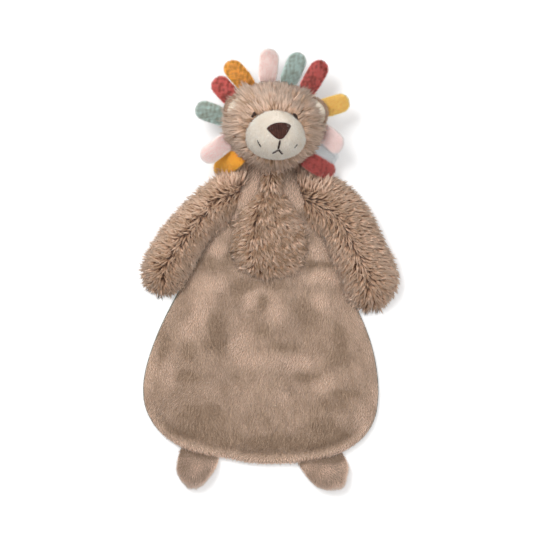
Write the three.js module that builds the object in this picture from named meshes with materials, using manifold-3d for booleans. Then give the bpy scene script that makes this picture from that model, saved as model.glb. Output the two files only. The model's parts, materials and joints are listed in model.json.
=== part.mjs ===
// A plush lion comforter, lying on its back: a stuffed head with a mane of padded tabs, a flat
// pear-shaped blanket body with a long-pile tuft under the chin, two long-pile arms and two feet.
// Millimetres. +Z is up, out of the face, +Y runs along the body towards the head, and the origin
// is on the flat underside of the blanket, on its long axis.
import * as THREE from "three";
import { mergeVertices } from "three/addons/utils/BufferGeometryUtils.js";
import Module from "manifold-3d";

const wasm = await Module();
wasm.setup();

// Driving dimensions.
const bodyLength = 231; // hem to neck seam
const bodyWidth = 176; // across the widest part of the blanket
const neckReach = 86; // origin to the neck seam
const clothThickness = 1.5;
const seamGap = 0.3; // between pieces that are sewn or lie together
const blanketSwell = 6; // rise of the padded blanket above its thin edge
const headWidth = 68;
const headHeight = 59; // along the body
const headDepth = 50; // floor to the front of the face
const headReach = 109; // origin to the middle of the head
const restFlat = 0.5; // depth of the flat on which stuffed pieces rest
const muzzleWidth = 44;
const muzzleHeight = 37;
const muzzleRise = 12; // the muzzle stands this far out of the face
const noseWidth = 18.5;
const eyeLength = 7.5;
const stitchWidth = 1.3;
const stitchRise = 0.8;
const earWidth = 21;
const earReach = 29.5; // head's middle to an ear's middle, across the face
const earThickness = 5;
const tabWidth = 14;
const tabThickness = 7;
const tabReach = 58; // middle of the head to a tab's tip
const armReach = 90; // long axis to the outside of an arm
const armDrop = 95; // shoulder to the end of the paw, along the body
const armThickness = 17;
const footLength = 28;
const footWidth = 27;
const footThickness = 12;
const tuftLength = 68;
const tuftWidth = 48;
const tuftThickness = 8;

const hemY = neckReach - bodyLength;
const degrees = Math.PI / 180;

const colours = {
  fur: [0xba9f88, 0.95],
  blanket: [0xa58c76, 0.85],
  backing: [0x8f9c86, 0.9],
  tuft: [0xaf8c73, 0.95],
  arm: [0xaf9178, 0.95],
  wadding: [0xeeeae2, 1],
  muzzle: [0xe1dacf, 0.9],
  nose: [0x5a3732, 0.7],
  thread: [0x2a211f, 0.7],
  pink: [0xe8c8c6, 0.9],
  sage: [0x96aca0, 0.9],
  red: [0xbe5050, 0.9],
  mustard: [0xde9b32, 0.9],
};

const object = new THREE.Group();

function addMesh(name, geometry, colour) {
  const [hex, roughness] = colours[colour];
  const material = new THREE.MeshStandardMaterial({ color: hex, roughness, metalness: 0 });
  const mesh = new THREE.Mesh(geometry, material);
  mesh.name = name;
  object.add(mesh);
  return mesh;
}

function solidOf(geometry) {
  const positions = new THREE.BufferGeometry();
  positions.setAttribute("position", geometry.getAttribute("position"));
  positions.setIndex(geometry.index);
  const merged = mergeVertices(positions);
  const vertProperties = new Float32Array(merged.attributes.position.array);
  const triVerts = new Uint32Array(merged.index.array);
  return new wasm.Manifold(new wasm.Mesh({ numProp: 3, vertProperties, triVerts }));
}

function geometryOf(solid) {
  const mesh = solid.getMesh();
  const geometry = new THREE.BufferGeometry();
  geometry.setAttribute("position", new THREE.BufferAttribute(mesh.vertProperties, 3));
  geometry.setIndex(new THREE.BufferAttribute(mesh.triVerts, 1));
  geometry.computeVertexNormals();
  return geometry;
}

// A closed skin through rings of equally many points. The first half of a ring's points runs over
// the top from left to right, and the second half comes back below, with its faces split the same
// way, so that layers on one grid stay parallel.
function loft(rings) {
  const across = rings[0].length;
  const corners = [];
  const quad = (a, b, c, d) => corners.push(a, b, c, a, c, d);
  for (let i = 1; i < rings.length; i++) {
    for (let k = 0; k < across; k++) {
      const next = (k + 1) % across;
      const around = [rings[i - 1][k], rings[i - 1][next], rings[i][next], rings[i][k]];
      if (k >= across / 2) around.push(around.shift());
      quad(...around);
    }
  }
  const first = rings[0];
  const last = rings[rings.length - 1];
  for (let k = 0; k + 1 < across / 2; k++) {
    const below = across - 1 - k;
    quad(first[k], first[below], first[below - 1], first[k + 1]);
    quad(last[k + 1], last[below - 1], last[below], last[k]);
  }
  return new THREE.BufferGeometry().setFromPoints(corners);
}

// The blanket's outline: half of the pear, from the middle of the hem round to the neck seam. The
// arms are sewn along its straight run between armpit and shoulder.
const sideOfShares = ([across, along]) =>
  new THREE.Vector2((across * bodyWidth) / 2, hemY + along * bodyLength);
const armpit = sideOfShares([0.432, 0.771]);
const shoulder = sideOfShares([0.273, 0.948]);
const halfOutline = new THREE.CurvePath();
const hemShares = [[0, 0], [0.545, 0], [1, 0.053], [1, 0.213]];
const flankShares = [[1, 0.213], [1.023, 0.343], [0.705, 0.577]];
const neckShares = [0.227, 1];
halfOutline.add(new THREE.CubicBezierCurve(...hemShares.map(sideOfShares)));
halfOutline.add(new THREE.CubicBezierCurve(...flankShares.map(sideOfShares), armpit));
halfOutline.add(new THREE.LineCurve(armpit, shoulder));
halfOutline.add(new THREE.LineCurve(shoulder, sideOfShares(neckShares)));

const outlineSteps = 64;
const outlinePoints = halfOutline.getSpacedPoints(outlineSteps);

// How far a point on the blanket lies inside its outline. The neck seam doesn't count as an edge.
function insideEdge(x, y) {
  const point = new THREE.Vector3(Math.abs(x), y, 0);
  const nearest = new THREE.Vector3();
  let least = bodyLength;
  for (let i = 1; i < outlinePoints.length; i++) {
    const from = new THREE.Vector3(outlinePoints[i - 1].x, outlinePoints[i - 1].y, 0);
    const to = new THREE.Vector3(outlinePoints[i].x, outlinePoints[i].y, 0);
    new THREE.Line3(from, to).closestPointToPoint(point, true, nearest);
    least = Math.min(least, nearest.distanceTo(point));
  }
  return least;
}

// The main folds lie as soft ridges and valleys along straight runs: from and to are shares of half
// the width and of the length from the hem, rise is a share of the swell, breadth one of the width.
const foldShares = [
  { from: [-0.4, 0.72], to: [-0.12, 0.56], rise: -0.5, breadth: 0.045 },
  { from: [-0.62, 0.12], to: [-0.5, 0.52], rise: 0.34, breadth: 0.06 },
  { from: [-0.3, 0.1], to: [-0.2, 0.46], rise: -0.4, breadth: 0.06 },
  { from: [0.05, 0.16], to: [0.1, 0.5], rise: 0.3, breadth: 0.07 },
  { from: [0.34, 0.12], to: [0.3, 0.6], rise: -0.42, breadth: 0.055 },
  { from: [0.62, 0.16], to: [0.5, 0.6], rise: 0.3, breadth: 0.06 },
];

function foldRise(x, y) {
  const point = new THREE.Vector3(x, y, 0);
  const nearest = new THREE.Vector3();
  let rise = 0;
  for (const fold of foldShares) {
    const from = sideOfShares(fold.from);
    const to = sideOfShares(fold.to);
    const run = new THREE.Line3(new THREE.Vector3(from.x, from.y, 0), new THREE.Vector3(to.x, to.y, 0));
    run.closestPointToPoint(point, true, nearest);
    const away = nearest.distanceTo(point) / (fold.breadth * bodyWidth);
    rise += fold.rise * blanketSwell * Math.exp(-away * away);
  }
  return rise;
}

// Height of the front panel's outside over a point of the blanket.
const edgeTop = 2 * clothThickness + seamGap;
const edgeRunShare = 0.05; // of the body's width, over which the padding swells
function blanketTop(x, y) {
  const full = 1 - Math.exp(-insideEdge(x, y) / (edgeRunShare * bodyWidth));
  return edgeTop + full * (blanketSwell + full * foldRise(x, y));
}

// Points across the blanket, closer together towards its edges.
function acrossBlanket(steps, halfWidth) {
  const places = [];
  for (let k = 0; k <= steps; k++) places.push(halfWidth * Math.sin((k / steps - 0.5) * Math.PI));
  return places;
}

// Rings of a flat piece that follows the outline just inside it, between two heights. margin leaves
// out as many rows and columns of points along its edges.
const blanketRows = 30;
const blanketSteps = 17;
function blanketRings(low, high, margin = 0) {
  const rings = [];
  const points = halfOutline.getSpacedPoints(blanketRows).slice(1 + margin, blanketRows + 1 - margin);
  for (const { x: edge, y } of points) {
    const places = acrossBlanket(blanketSteps, edge - seamGap).slice(margin, blanketSteps + 1 - margin);
    const over = places.map((x) => new THREE.Vector3(x, y, high(x, y)));
    const under = places.map((x) => new THREE.Vector3(x, y, low(x, y))).reverse();
    rings.push([...over, ...under]);
  }
  return rings;
}

function makeBackPanel() {
  const outline = halfOutline.getSpacedPoints(outlineSteps / 2);
  const mirrored = outline.slice(1).reverse().map((p) => new THREE.Vector2(-p.x, p.y));
  const shape = new THREE.Shape([...outline, ...mirrored]);
  return new THREE.ExtrudeGeometry(shape, { depth: clothThickness, bevelEnabled: false });
}

function makeFrontPanel() {
  const low = (x, y) => blanketTop(x, y) - clothThickness;
  return solidOf(loft(blanketRings(low, blanketTop))).subtract(headForm(seamGap));
}

// The wadding stops short of the sewn edge.
function makeWadding() {
  const low = clothThickness + seamGap;
  const high = (x, y) => blanketTop(x, y) - clothThickness - seamGap;
  return solidOf(loft(blanketRings(() => low, high, 2)));
}

// The chest tuft is let into the front panel: a teardrop pad, wide below and narrow at the chin.
const tuftBottomY = -3;
const tuftHalfShares = [0.2, 0.52, 0.76, 0.92, 1, 0.99, 0.93, 0.82, 0.64, 0.42, 0.27, 0.2];
const tuftRowShares = [0, 0.03, 0.08, 0.16, 0.28, 0.4, 0.52, 0.63, 0.73, 0.82, 0.91, 1];

function makeTuft() {
  const steps = 10;
  const below = blanketRings(() => 0, blanketTop);
  const clearOfPanel = solidOf(loft(below)).translate([0, 0, seamGap]);
  const rings = tuftRowShares.map((row, i) => {
    const half = (tuftHalfShares[i] * tuftWidth) / 2;
    const y = tuftBottomY + row * tuftLength;
    const endShare = Math.min(1, Math.sqrt(Math.min(row, 1 - row / 2) * 6) / 2 + 0.25);
    const places = acrossBlanket(steps, half);
    const dome = (x) => clothThickness + (tuftThickness - clothThickness) * endShare * (1 - (x / half) ** 2);
    const over = places.map((x) => new THREE.Vector3(x, y, blanketTop(x, y) + dome(x)));
    const under = places.map((x) => new THREE.Vector3(x, y, blanketTop(x, y) - clothThickness)).reverse();
    return [...over, ...under];
  });
  return solidOf(loft(rings)).subtract(clearOfPanel);
}

// An egg-shaped form: a ball drawn out to three half sizes and put in its place.
const ballSteps = 28;
function ball(half, centre) {
  const geometry = new THREE.SphereGeometry(1, ballSteps, ballSteps / 2);
  geometry.rotateX(Math.PI / 2);
  geometry.scale(half.x, half.y, half.z);
  geometry.translate(centre.x, centre.y, centre.z);
  return solidOf(geometry);
}

// The head's outside, grown by a clearance. Its back has the flat on which it rests.
const headCentre = new THREE.Vector3(0, headReach, headDepth / 2 - restFlat);
function headForm(grow) {
  const half = new THREE.Vector3(headWidth / 2 + grow, headHeight / 2 + grow, headDepth / 2 + grow);
  return ball(half, headCentre);
}

function slab(low, high) {
  const side = bodyLength;
  const box = new THREE.BoxGeometry(side, side, high - low);
  box.translate(0, headReach, (low + high) / 2);
  return solidOf(box);
}

// The rim seam of the head lies level with its middle: the face is above it, the back below.
const rimZ = headCentre.z;
function makeHeadCovers() {
  const hollow = headForm(-clothThickness);
  const above = slab(rimZ + seamGap / 2, headDepth);
  const below = slab(0, rimZ - seamGap / 2);
  const cover = headForm(0).subtract(hollow);
  addMesh("head_front_cover", geometryOf(cover.intersect(above)), "fur");
  addMesh("head_back_cover", geometryOf(cover.intersect(below)), "fur");
  const filling = headForm(-clothThickness - seamGap);
  addMesh("head_filling", geometryOf(filling.intersect(slab(seamGap, headDepth))), "wadding");
}

// The muzzle is a padded egg, narrower at its top, sewn to the face a little to the right of the
// middle, because the head looks that way.
const muzzleCentre = new THREE.Vector3(headWidth * 0.022, headReach - headHeight * 0.125, headDepth * 0.8);
const muzzleNarrowing = 0.12;
function muzzleForm(grow) {
  const rise = headDepth + muzzleRise - muzzleCentre.z - restFlat;
  const half = new THREE.Vector3(muzzleWidth / 2 + grow, muzzleHeight / 2 + grow, rise + grow);
  const egg = geometryOf(ball(half, muzzleCentre));
  const place = egg.getAttribute("position");
  for (let i = 0; i < place.count; i++) {
    const up = (place.getY(i) - muzzleCentre.y) / half.y;
    const across = place.getX(i) - muzzleCentre.x;
    place.setX(i, muzzleCentre.x + across * (1 - muzzleNarrowing * up));
  }
  return solidOf(egg);
}

function makeMuzzle() {
  const cover = muzzleForm(0).subtract(muzzleForm(-clothThickness));
  addMesh("muzzle_cover", geometryOf(cover.subtract(headForm(seamGap))), "muzzle");
  const filling = muzzleForm(-clothThickness - seamGap).subtract(headForm(seamGap));
  addMesh("muzzle_filling", geometryOf(filling), "wadding");
}

// A prism over an outline, from a form's middle height up through its whole front.
function prism(shape, middle) {
  const options = { depth: headDepth, bevelEnabled: false, curveSegments: 6 };
  return solidOf(new THREE.ExtrudeGeometry(shape, options).translate(0, 0, middle.z));
}

// A round-ended stroke of thread from one point to another.
function strokeShape(from, to, width) {
  const shape = new THREE.Shape();
  const lean = Math.atan2(to.y - from.y, to.x - from.x);
  shape.absarc(to.x, to.y, width / 2, lean - Math.PI / 2, lean + Math.PI / 2);
  shape.absarc(from.x, from.y, width / 2, lean + Math.PI / 2, lean + 1.5 * Math.PI);
  return shape;
}

// A raised layer on a form, such as embroidery: what stands out of it inside an outline.
function raised(form, rise, outline) {
  return form(seamGap + rise).subtract(form(seamGap)).intersect(outline);
}

const noseCentre = new THREE.Vector2(muzzleCentre.x + noseWidth * 0.18, muzzleCentre.y + noseWidth * 0.15);
const atNose = (across, along) =>
  new THREE.Vector2(noseCentre.x + across * noseWidth, noseCentre.y + along * noseWidth);

function makeNose() {
  const shape = new THREE.Shape();
  const lines = [
    [[-0.5, 0.12], [-0.5, 0.36], [-0.3, 0.36]],
    [[0.3, 0.36], [0.5, 0.36], [0.5, 0.12]],
    [[0.16, -0.36], [0, -0.44], [-0.16, -0.36]],
  ].map((corner) => corner.map(([across, along]) => atNose(across, along)));
  shape.moveTo(lines[0][0].x, lines[0][0].y);
  for (const [from, corner, to] of lines) {
    shape.lineTo(from.x, from.y);
    shape.quadraticCurveTo(corner.x, corner.y, to.x, to.y);
  }
  addMesh("nose", geometryOf(raised(muzzleForm, 1.5 * stitchRise, prism(shape, muzzleCentre))), "nose");
}

function makeMouth() {
  const top = atNose(0, -0.5);
  const fork = atNose(0.02, -0.8);
  let strokes = prism(strokeShape(top, fork, stitchWidth), muzzleCentre);
  for (const end of [atNose(-0.26, -0.92), atNose(0.3, -0.9)]) {
    strokes = strokes.add(prism(strokeShape(fork, end, stitchWidth), muzzleCentre));
  }
  addMesh("mouth_stitch", geometryOf(raised(muzzleForm, stitchRise, strokes)), "thread");
  const smiles = {
    left_smile_stitch: [atNose(-0.88, -0.46), atNose(-0.7, -0.74)],
    right_smile_stitch: [atNose(0.7, -0.52), atNose(0.6, -0.7)],
  };
  for (const [name, [from, to]] of Object.entries(smiles)) {
    const stroke = prism(strokeShape(from, to, stitchWidth), muzzleCentre);
    addMesh(name, geometryOf(raised(muzzleForm, stitchRise, stroke)), "thread");
  }
}

function makeEyes() {
  const eyeAcross = 2.05 * eyeLength;
  const eyeUp = headReach + 0.85 * eyeLength;
  const clearOfMuzzle = muzzleForm(seamGap);
  for (const [name, side] of [["left_eye", -1], ["right_eye", 1]]) {
    const lean = (1 - side) * (Math.PI / 2) + side * 25 * degrees;
    const run = new THREE.Vector2(Math.cos(lean), Math.sin(lean)).multiplyScalar(-eyeLength / 4);
    const middle = new THREE.Vector2(side * eyeAcross, eyeUp);
    const shape = strokeShape(middle.clone().sub(run), middle.clone().add(run), eyeLength / 2);
    const eye = raised(headForm, 2 * stitchRise, prism(shape, headCentre)).subtract(clearOfMuzzle);
    addMesh(name, geometryOf(eye), "thread");
  }
}

// Each ear is a padded disc whose base is sewn to the face near the rim, with a cream inner patch.
const earBearings = { left: -71, right: 71 }; // clockwise from the top of the head
const earTilt = 16 * degrees; // the ear's outer edge lies lower than its base

// The ear's middle lies on the face, which is lower the further out the ear is.
function earHeight(bearing) {
  const across = (2 * earReach * Math.sin(bearing)) / headWidth;
  const up = (2 * earReach * Math.cos(bearing)) / headHeight;
  return headCentre.z + (headDepth / 2) * Math.sqrt(1 - across ** 2 - up ** 2);
}

function makeEars() {
  for (const [side, bearing] of Object.entries(earBearings)) {
    const yaw = -bearing * degrees;
    const place = new THREE.Matrix4()
      .makeTranslation(0, headReach, earHeight(yaw))
      .multiply(new THREE.Matrix4().makeRotationZ(yaw))
      .multiply(new THREE.Matrix4().makeTranslation(0, earReach, 0))
      .multiply(new THREE.Matrix4().makeRotationX(-earTilt));
    const pad = (grow) => {
      const geometry = new THREE.SphereGeometry(1, 20, 12);
      geometry.rotateX(Math.PI / 2);
      geometry.scale(earWidth / 2 + grow, earWidth / 2 + grow, earThickness / 2 + grow);
      return solidOf(geometry.applyMatrix4(place));
    };
    addMesh(side + "_ear", geometryOf(pad(0).subtract(headForm(seamGap))), "fur");
    const patch = new THREE.CylinderGeometry(earWidth * 0.29, earWidth * 0.29, earThickness, 16);
    patch.rotateX(Math.PI / 2);
    patch.translate(0, earWidth * 0.13, earThickness / 2);
    const inner = raised(pad, stitchRise, solidOf(patch.applyMatrix4(place)));
    const roomToFold = seamGap + 2 * stitchRise;
    addMesh(side + "_ear_inner", geometryOf(inner.subtract(headForm(roomToFold))), "muzzle");
  }
}

// The mane's tabs, clockwise from the top. root is the bearing of the tab's place in the rim seam
// and tip that of its end, in degrees; reachShare is the tip's distance as a share of tabReach, and
// sinkShare lets the tip hang lower, as a share of the tab's thickness, where it lies under others.
const maneTabs = [
  { colour: "pink", root: -11, tip: -5.4, reachShare: 0.965, sinkShare: 0 },
  { colour: "sage", root: 14, tip: 16.2, reachShare: 0.945, sinkShare: 0.3 },
  { colour: "red", root: 39, tip: 34.6, reachShare: 1, sinkShare: 0 },
  { colour: "mustard", root: 67, tip: 69.5, reachShare: 1, sinkShare: 0.4 },
  { colour: "pink", root: 97, tip: 103, reachShare: 0.925, sinkShare: -0.2 },
  { colour: "sage", root: 117.5, tip: 118, reachShare: 0.9, sinkShare: 1.9 },
  { colour: "red", root: 139, tip: 127, reachShare: 0.98, sinkShare: -0.2 },
  { colour: "mustard", root: 221, tip: 226.4, reachShare: 0.96, sinkShare: 0.9 },
  { colour: "pink", root: 246, tip: 239.6, reachShare: 1, sinkShare: -0.2 },
  { colour: "sage", root: 274, tip: 279, reachShare: 1, sinkShare: 0.3 },
  { colour: "red", root: 300, tip: 304, reachShare: 0.95, sinkShare: 0.3 },
  { colour: "mustard", root: 326, tip: 322, reachShare: 0.97, sinkShare: 0 },
];
// Along a tab: place along it, half width and half thickness, each as a share of its full size.
const tabRowShares = [
  [0, 0.6, 0.2],
  [0.05, 0.64, 0.3],
  [0.2, 0.84, 0.7],
  [0.42, 1, 1],
  [0.74, 1, 1],
  [0.88, 0.84, 0.86],
  [0.97, 0.5, 0.5],
  [1, 0.2, 0.2],
];

function tabGeometry(length) {
  const sides = 10;
  const rings = tabRowShares.map(([along, wide, thick]) => {
    const ring = [];
    for (let k = 0; k < sides; k++) {
      const angle = Math.PI - ((k + 0.5) / sides) * 2 * Math.PI;
      const x = (Math.cos(angle) * wide * tabWidth) / 2;
      const z = (Math.sin(angle) * thick * tabThickness) / 2;
      ring.push(new THREE.Vector3(x, along * length, z));
    }
    return ring;
  });
  return geometryOf(solidOf(loft(rings)));
}

// A tab's root on the rim seam. One that leans away from the seam's square stands further out, so
// that its near corner clears the head.
function tabRoot(bearing, tip) {
  const root = new THREE.Vector3((Math.sin(bearing) * headWidth) / 2, (Math.cos(bearing) * headHeight) / 2, 0);
  const out = new THREE.Vector3(root.x / headWidth ** 2, root.y / headHeight ** 2, 0).normalize();
  root.add(headCentre);
  const along = tip.clone().sub(root).setZ(0).normalize();
  const lean = out.clone().cross(along).length();
  const halfRoot = (tabRowShares[0][1] * tabWidth) / 2;
  return root.add(out.multiplyScalar(seamGap + lean * halfRoot));
}

function makeMane() {
  maneTabs.forEach((tab, i) => {
    const tip = new THREE.Vector3(Math.sin(tab.tip * degrees), Math.cos(tab.tip * degrees), 0);
    tip.multiplyScalar(tab.reachShare * tabReach).add(headCentre);
    tip.z -= tab.sinkShare * tabThickness;
    const root = tabRoot(tab.root * degrees, tip);
    const along = tip.clone().sub(root);
    const name = "mane_tab_" + String(i + 1).padStart(2, "0") + "_" + tab.colour;
    const mesh = addMesh(name, tabGeometry(along.length()), tab.colour);
    mesh.position.copy(root);
    const pitch = Math.atan2(along.z, Math.hypot(along.x, along.y));
    mesh.rotation.set(pitch, 0, -Math.atan2(along.x, along.y), "ZXY");
  });
}

// A stuffed limb lofted through stations. Each gives its left and its right edge, seen along the
// limb from its root, and its thickness; the underside is flattened where it rests.
function limbRings(stations, inset) {
  const sides = 14;
  return stations.map(({ left, right, thickness }) => {
    const middle = left.clone().add(right).multiplyScalar(0.5);
    const reach = right.clone().sub(left).multiplyScalar(0.5);
    const half = Math.max(reach.length() - inset, reach.length() / 4);
    const halfThick = Math.max(thickness / 2 + restFlat / 2 - inset, thickness / 8);
    const centre = thickness / 2 - restFlat / 2;
    reach.setLength(half);
    const ring = [];
    for (let k = 0; k < sides; k++) {
      const angle = Math.PI - ((k + 0.5) / sides) * 2 * Math.PI;
      const z = Math.max(centre + halfThick * Math.sin(angle), inset);
      const across = Math.cos(angle);
      ring.push(new THREE.Vector3(middle.x + across * reach.x, middle.y + across * reach.y, z));
    }
    return ring;
  });
}

// The limb's cover has a short slit in its underside, through which it is stuffed, and its filling.
function makeLimb(name, stations, first, slitAt, colour) {
  const cover = solidOf(loft(limbRings(stations, 0)));
  const inner = stations.slice(first, stations.length - 1);
  const hollow = solidOf(loft(limbRings(inner, clothThickness)));
  const filling = solidOf(loft(limbRings(inner, clothThickness + seamGap)));
  const slit = new THREE.BoxGeometry(2 * clothThickness, 4 * clothThickness, 4 * clothThickness);
  slit.translate(slitAt.x, slitAt.y, 0);
  addMesh(name + "_cover", geometryOf(cover.subtract(hollow).subtract(solidOf(slit))), colour);
  addMesh(name + "_filling", geometryOf(filling), "wadding");
}

// An arm's stations beyond its seam as shares. First its outer edge: across as a share of the way from
// the shoulder to armReach, down as one of armDrop. Then its inner edge in the same way from the
// armpit, down to the end of the paw. Then thickness as a share of armThickness.
const armStationShares = [
  [0.182, 0.058, 0.096, 0.057, 0.42],
  [0.431, 0.216, 0.134, 0.103, 0.72],
  [0.644, 0.384, 0.297, 0.38, 0.941],
  [0.855, 0.586, 0.432, 0.64, 1],
  [0.97, 0.768, 0.529, 0.796, 0.941],
  [0.992, 0.884, 0.557, 0.861, 0.765],
  [0.947, 0.958, 0.643, 0.954, 0.471],
  [0.879, 0.995, 0.721, 1, 0.206],
];
const armSpread = { left: 0, right: 4.5 }; // degrees that each arm lies further out

// The arm's root follows the straight seam between shoulder and armpit, pinched thin.
function armRoot(thickness, away) {
  const run = armpit.clone().sub(shoulder).normalize();
  const out = new THREE.Vector2(-run.y, run.x).multiplyScalar(away);
  const margin = run.multiplyScalar(2 * seamGap);
  const left = shoulder.clone().add(out).add(margin);
  const right = armpit.clone().add(out).sub(margin);
  return { left, right, thickness };
}

function makeArms() {
  const pivot = armpit.clone().lerp(shoulder, 0.5);
  for (const [side, spread] of Object.entries(armSpread)) {
    const mirror = side === "left" ? -1 : 1;
    const pawEnd = new THREE.Vector2(armReach, shoulder.y - armDrop);
    const place = (from, across, down, bend) =>
      new THREE.Vector2(across, down)
        .multiply(pawEnd.clone().sub(from))
        .add(from)
        .rotateAround(pivot, bend * spread * degrees);
    const beyond = armStationShares.map(([outX, outY, inX, inY, thick], i) => {
      const bend = Math.min(1, (i + 1) / 3);
      const left = place(shoulder, outX, outY, bend);
      const right = place(armpit, inX, inY, bend);
      return { left, right, thickness: thick * armThickness };
    });
    const pinch = 4 * seamGap;
    const seam = [armRoot(pinch, 2 * seamGap), armRoot(1.5 * pinch, edgeTop / 2)];
    const stations = [...seam, ...beyond].map(({ left, right, thickness }) => {
      const edges = [left, right].map((edge) => new THREE.Vector2(mirror * edge.x, edge.y));
      if (mirror < 0) edges.reverse();
      return { left: edges[0], right: edges[1], thickness };
    });
    const { left, right } = stations[4];
    makeLimb(side + "_arm", stations, 2, left.clone().lerp(right, 0.5), "arm");
  }
}

// A foot's stations: along it from the hem, half width and thickness as shares of its sizes.
const footRowShares = [
  [0.03, 0.86, 0.1],
  [0.07, 0.88, 0.15],
  [0.27, 0.95, 0.6],
  [0.45, 1, 0.9],
  [0.65, 0.99, 1],
  [0.82, 0.88, 0.86],
  [0.94, 0.62, 0.52],
  [1, 0.3, 0.2],
];
const footPlaces = {
  left: { acrossShare: -0.48, splay: 6, widthShare: 0.94 },
  right: { acrossShare: 0.54, splay: 26, widthShare: 1 },
}; // across as a share of half the body's width, splay in degrees outwards

// The point of the hem under a place across the body, and the way out of the hem there.
function hemAt(across) {
  const at = outlinePoints.findIndex((p) => p.x >= Math.abs(across));
  const [before, after] = [outlinePoints[at - 1], outlinePoints[at]];
  const share = (Math.abs(across) - before.x) / (after.x - before.x);
  const point = before.clone().lerp(after, share);
  const run = after.clone().sub(before).normalize();
  const mirror = Math.sign(across);
  return {
    point: new THREE.Vector2(mirror * point.x, point.y),
    out: new THREE.Vector2(mirror * run.y, -run.x),
  };
}

function makeFeet() {
  for (const [side, { acrossShare, splay, widthShare }] of Object.entries(footPlaces)) {
    const { point, out } = hemAt((acrossShare * bodyWidth) / 2);
    const mirror = Math.sign(acrossShare);
    const lean = Math.atan2(out.y, out.x);
    const end = -Math.PI / 2 + mirror * splay * degrees;
    const heading = lean < -Math.PI / 2 && mirror > 0 ? lean + 2 * Math.PI : lean;
    const middle = point.clone();
    let done = 0;
    const stations = footRowShares.map(([along, wide, thick]) => {
      const turned = heading + (end - heading) * Math.min(1, 2 * along);
      const step = (along - done) * footLength;
      done = along;
      middle.add(new THREE.Vector2(Math.cos(turned), Math.sin(turned)).multiplyScalar(step));
      const half = (wide * widthShare * footWidth) / 2;
      const reach = new THREE.Vector2(Math.sin(turned), -Math.cos(turned)).multiplyScalar(half);
      const left = middle.clone().sub(reach);
      const right = middle.clone().add(reach);
      return { left, right, thickness: thick * footThickness };
    });
    const slitAt = stations[4].left.clone().add(stations[4].right).multiplyScalar(0.5);
    makeLimb(side + "_foot", stations, 2, slitAt, "blanket");
  }
}

addMesh("blanket_back_panel", makeBackPanel(), "backing");
addMesh("blanket_front_panel", geometryOf(makeFrontPanel()), "blanket");
addMesh("blanket_wadding", geometryOf(makeWadding()), "wadding");
addMesh("chest_tuft", geometryOf(makeTuft()), "tuft");
makeHeadCovers();
makeMuzzle();
makeNose();
makeMouth();
makeEyes();
makeEars();
makeMane();
makeArms();
makeFeet();

export default object;
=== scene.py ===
"""A plush lion comforter lying on its back, seen from straight above.

Every stuffed form is a grid of rings: a ring of points is carried along the piece, its half width,
height and place being smooth functions of the way along. Pile is worked out on such a grid: tufts
are spread evenly over its area, and each strand is a thin three-sided cone whose middle line starts
between the cloth's normal and the way the pile is brushed, and bends towards the brushed way as the
square of the distance along it.
"""
import json
import math

import bpy
import numpy as np
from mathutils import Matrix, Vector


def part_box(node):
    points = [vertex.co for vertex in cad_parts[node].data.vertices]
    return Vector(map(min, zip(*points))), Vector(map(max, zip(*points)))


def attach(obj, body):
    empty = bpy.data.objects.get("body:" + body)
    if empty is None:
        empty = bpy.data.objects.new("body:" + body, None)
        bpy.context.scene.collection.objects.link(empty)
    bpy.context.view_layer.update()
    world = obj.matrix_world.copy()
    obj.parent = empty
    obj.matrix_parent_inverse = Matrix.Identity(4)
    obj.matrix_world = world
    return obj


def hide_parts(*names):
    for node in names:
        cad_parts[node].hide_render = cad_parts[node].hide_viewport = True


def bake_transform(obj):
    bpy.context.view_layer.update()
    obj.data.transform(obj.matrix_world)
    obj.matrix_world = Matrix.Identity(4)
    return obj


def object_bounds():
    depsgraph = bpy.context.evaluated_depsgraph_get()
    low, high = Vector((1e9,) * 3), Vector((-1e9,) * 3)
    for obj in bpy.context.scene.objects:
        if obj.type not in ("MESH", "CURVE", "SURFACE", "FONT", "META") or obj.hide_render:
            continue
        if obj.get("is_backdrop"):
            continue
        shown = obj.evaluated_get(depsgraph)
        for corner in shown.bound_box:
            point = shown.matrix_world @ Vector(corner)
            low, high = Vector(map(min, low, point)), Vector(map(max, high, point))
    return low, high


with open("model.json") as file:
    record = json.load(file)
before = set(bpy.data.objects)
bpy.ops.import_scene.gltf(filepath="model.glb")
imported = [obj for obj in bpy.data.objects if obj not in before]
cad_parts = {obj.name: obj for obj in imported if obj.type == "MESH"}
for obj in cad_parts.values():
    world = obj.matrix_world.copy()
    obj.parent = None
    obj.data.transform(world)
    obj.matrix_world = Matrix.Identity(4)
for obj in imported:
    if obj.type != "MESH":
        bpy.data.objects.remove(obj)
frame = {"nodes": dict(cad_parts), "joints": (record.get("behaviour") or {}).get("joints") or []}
cad_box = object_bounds()
MM = 0.001

# The camera looks straight down from far off, through a long lens. The toy lies a little askew, its
# head leaning to the right.
VIEW_WIDTH = 405 * MM
VIEW_CENTRE = (2.5 * MM, -0.3 * MM)
VIEW_DISTANCE = 9.0
LEAN = math.radians(2.9)


def add_object(name, data):
    """A new object of the scene."""
    made = bpy.data.objects.new(name, data)
    bpy.context.scene.collection.objects.link(made)
    return made


camera_data = bpy.data.cameras.new("camera")
camera_data.lens = camera_data.sensor_width * VIEW_DISTANCE / VIEW_WIDTH
camera_data.clip_end = 20
camera = add_object("camera", camera_data)
camera.location = (*VIEW_CENTRE, VIEW_DISTANCE)
camera.rotation_euler = (0, 0, LEAN)
bpy.context.scene.camera = camera
bpy.context.scene.view_settings.view_transform = "Standard"

# The table is a plain white board under a wide soft lamp and an even white surround. What the camera
# sees of it is white, apart from the toy's own shadow.
FLOOR_SIZE = 6.0
FLOOR_GAP = 0.2 * MM
FLOOR_COLOUR = 0.8
FLOOR_LIFT = 0.28
SURROUND_LEVEL = 0.62
LAMPS = [
    ("key_lamp", (-0.9, 1.0, 1.9), 1.0, 36),
    ("fill_lamp", (1.2, -0.7, 1.9), 1.6, 9),
]


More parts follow.
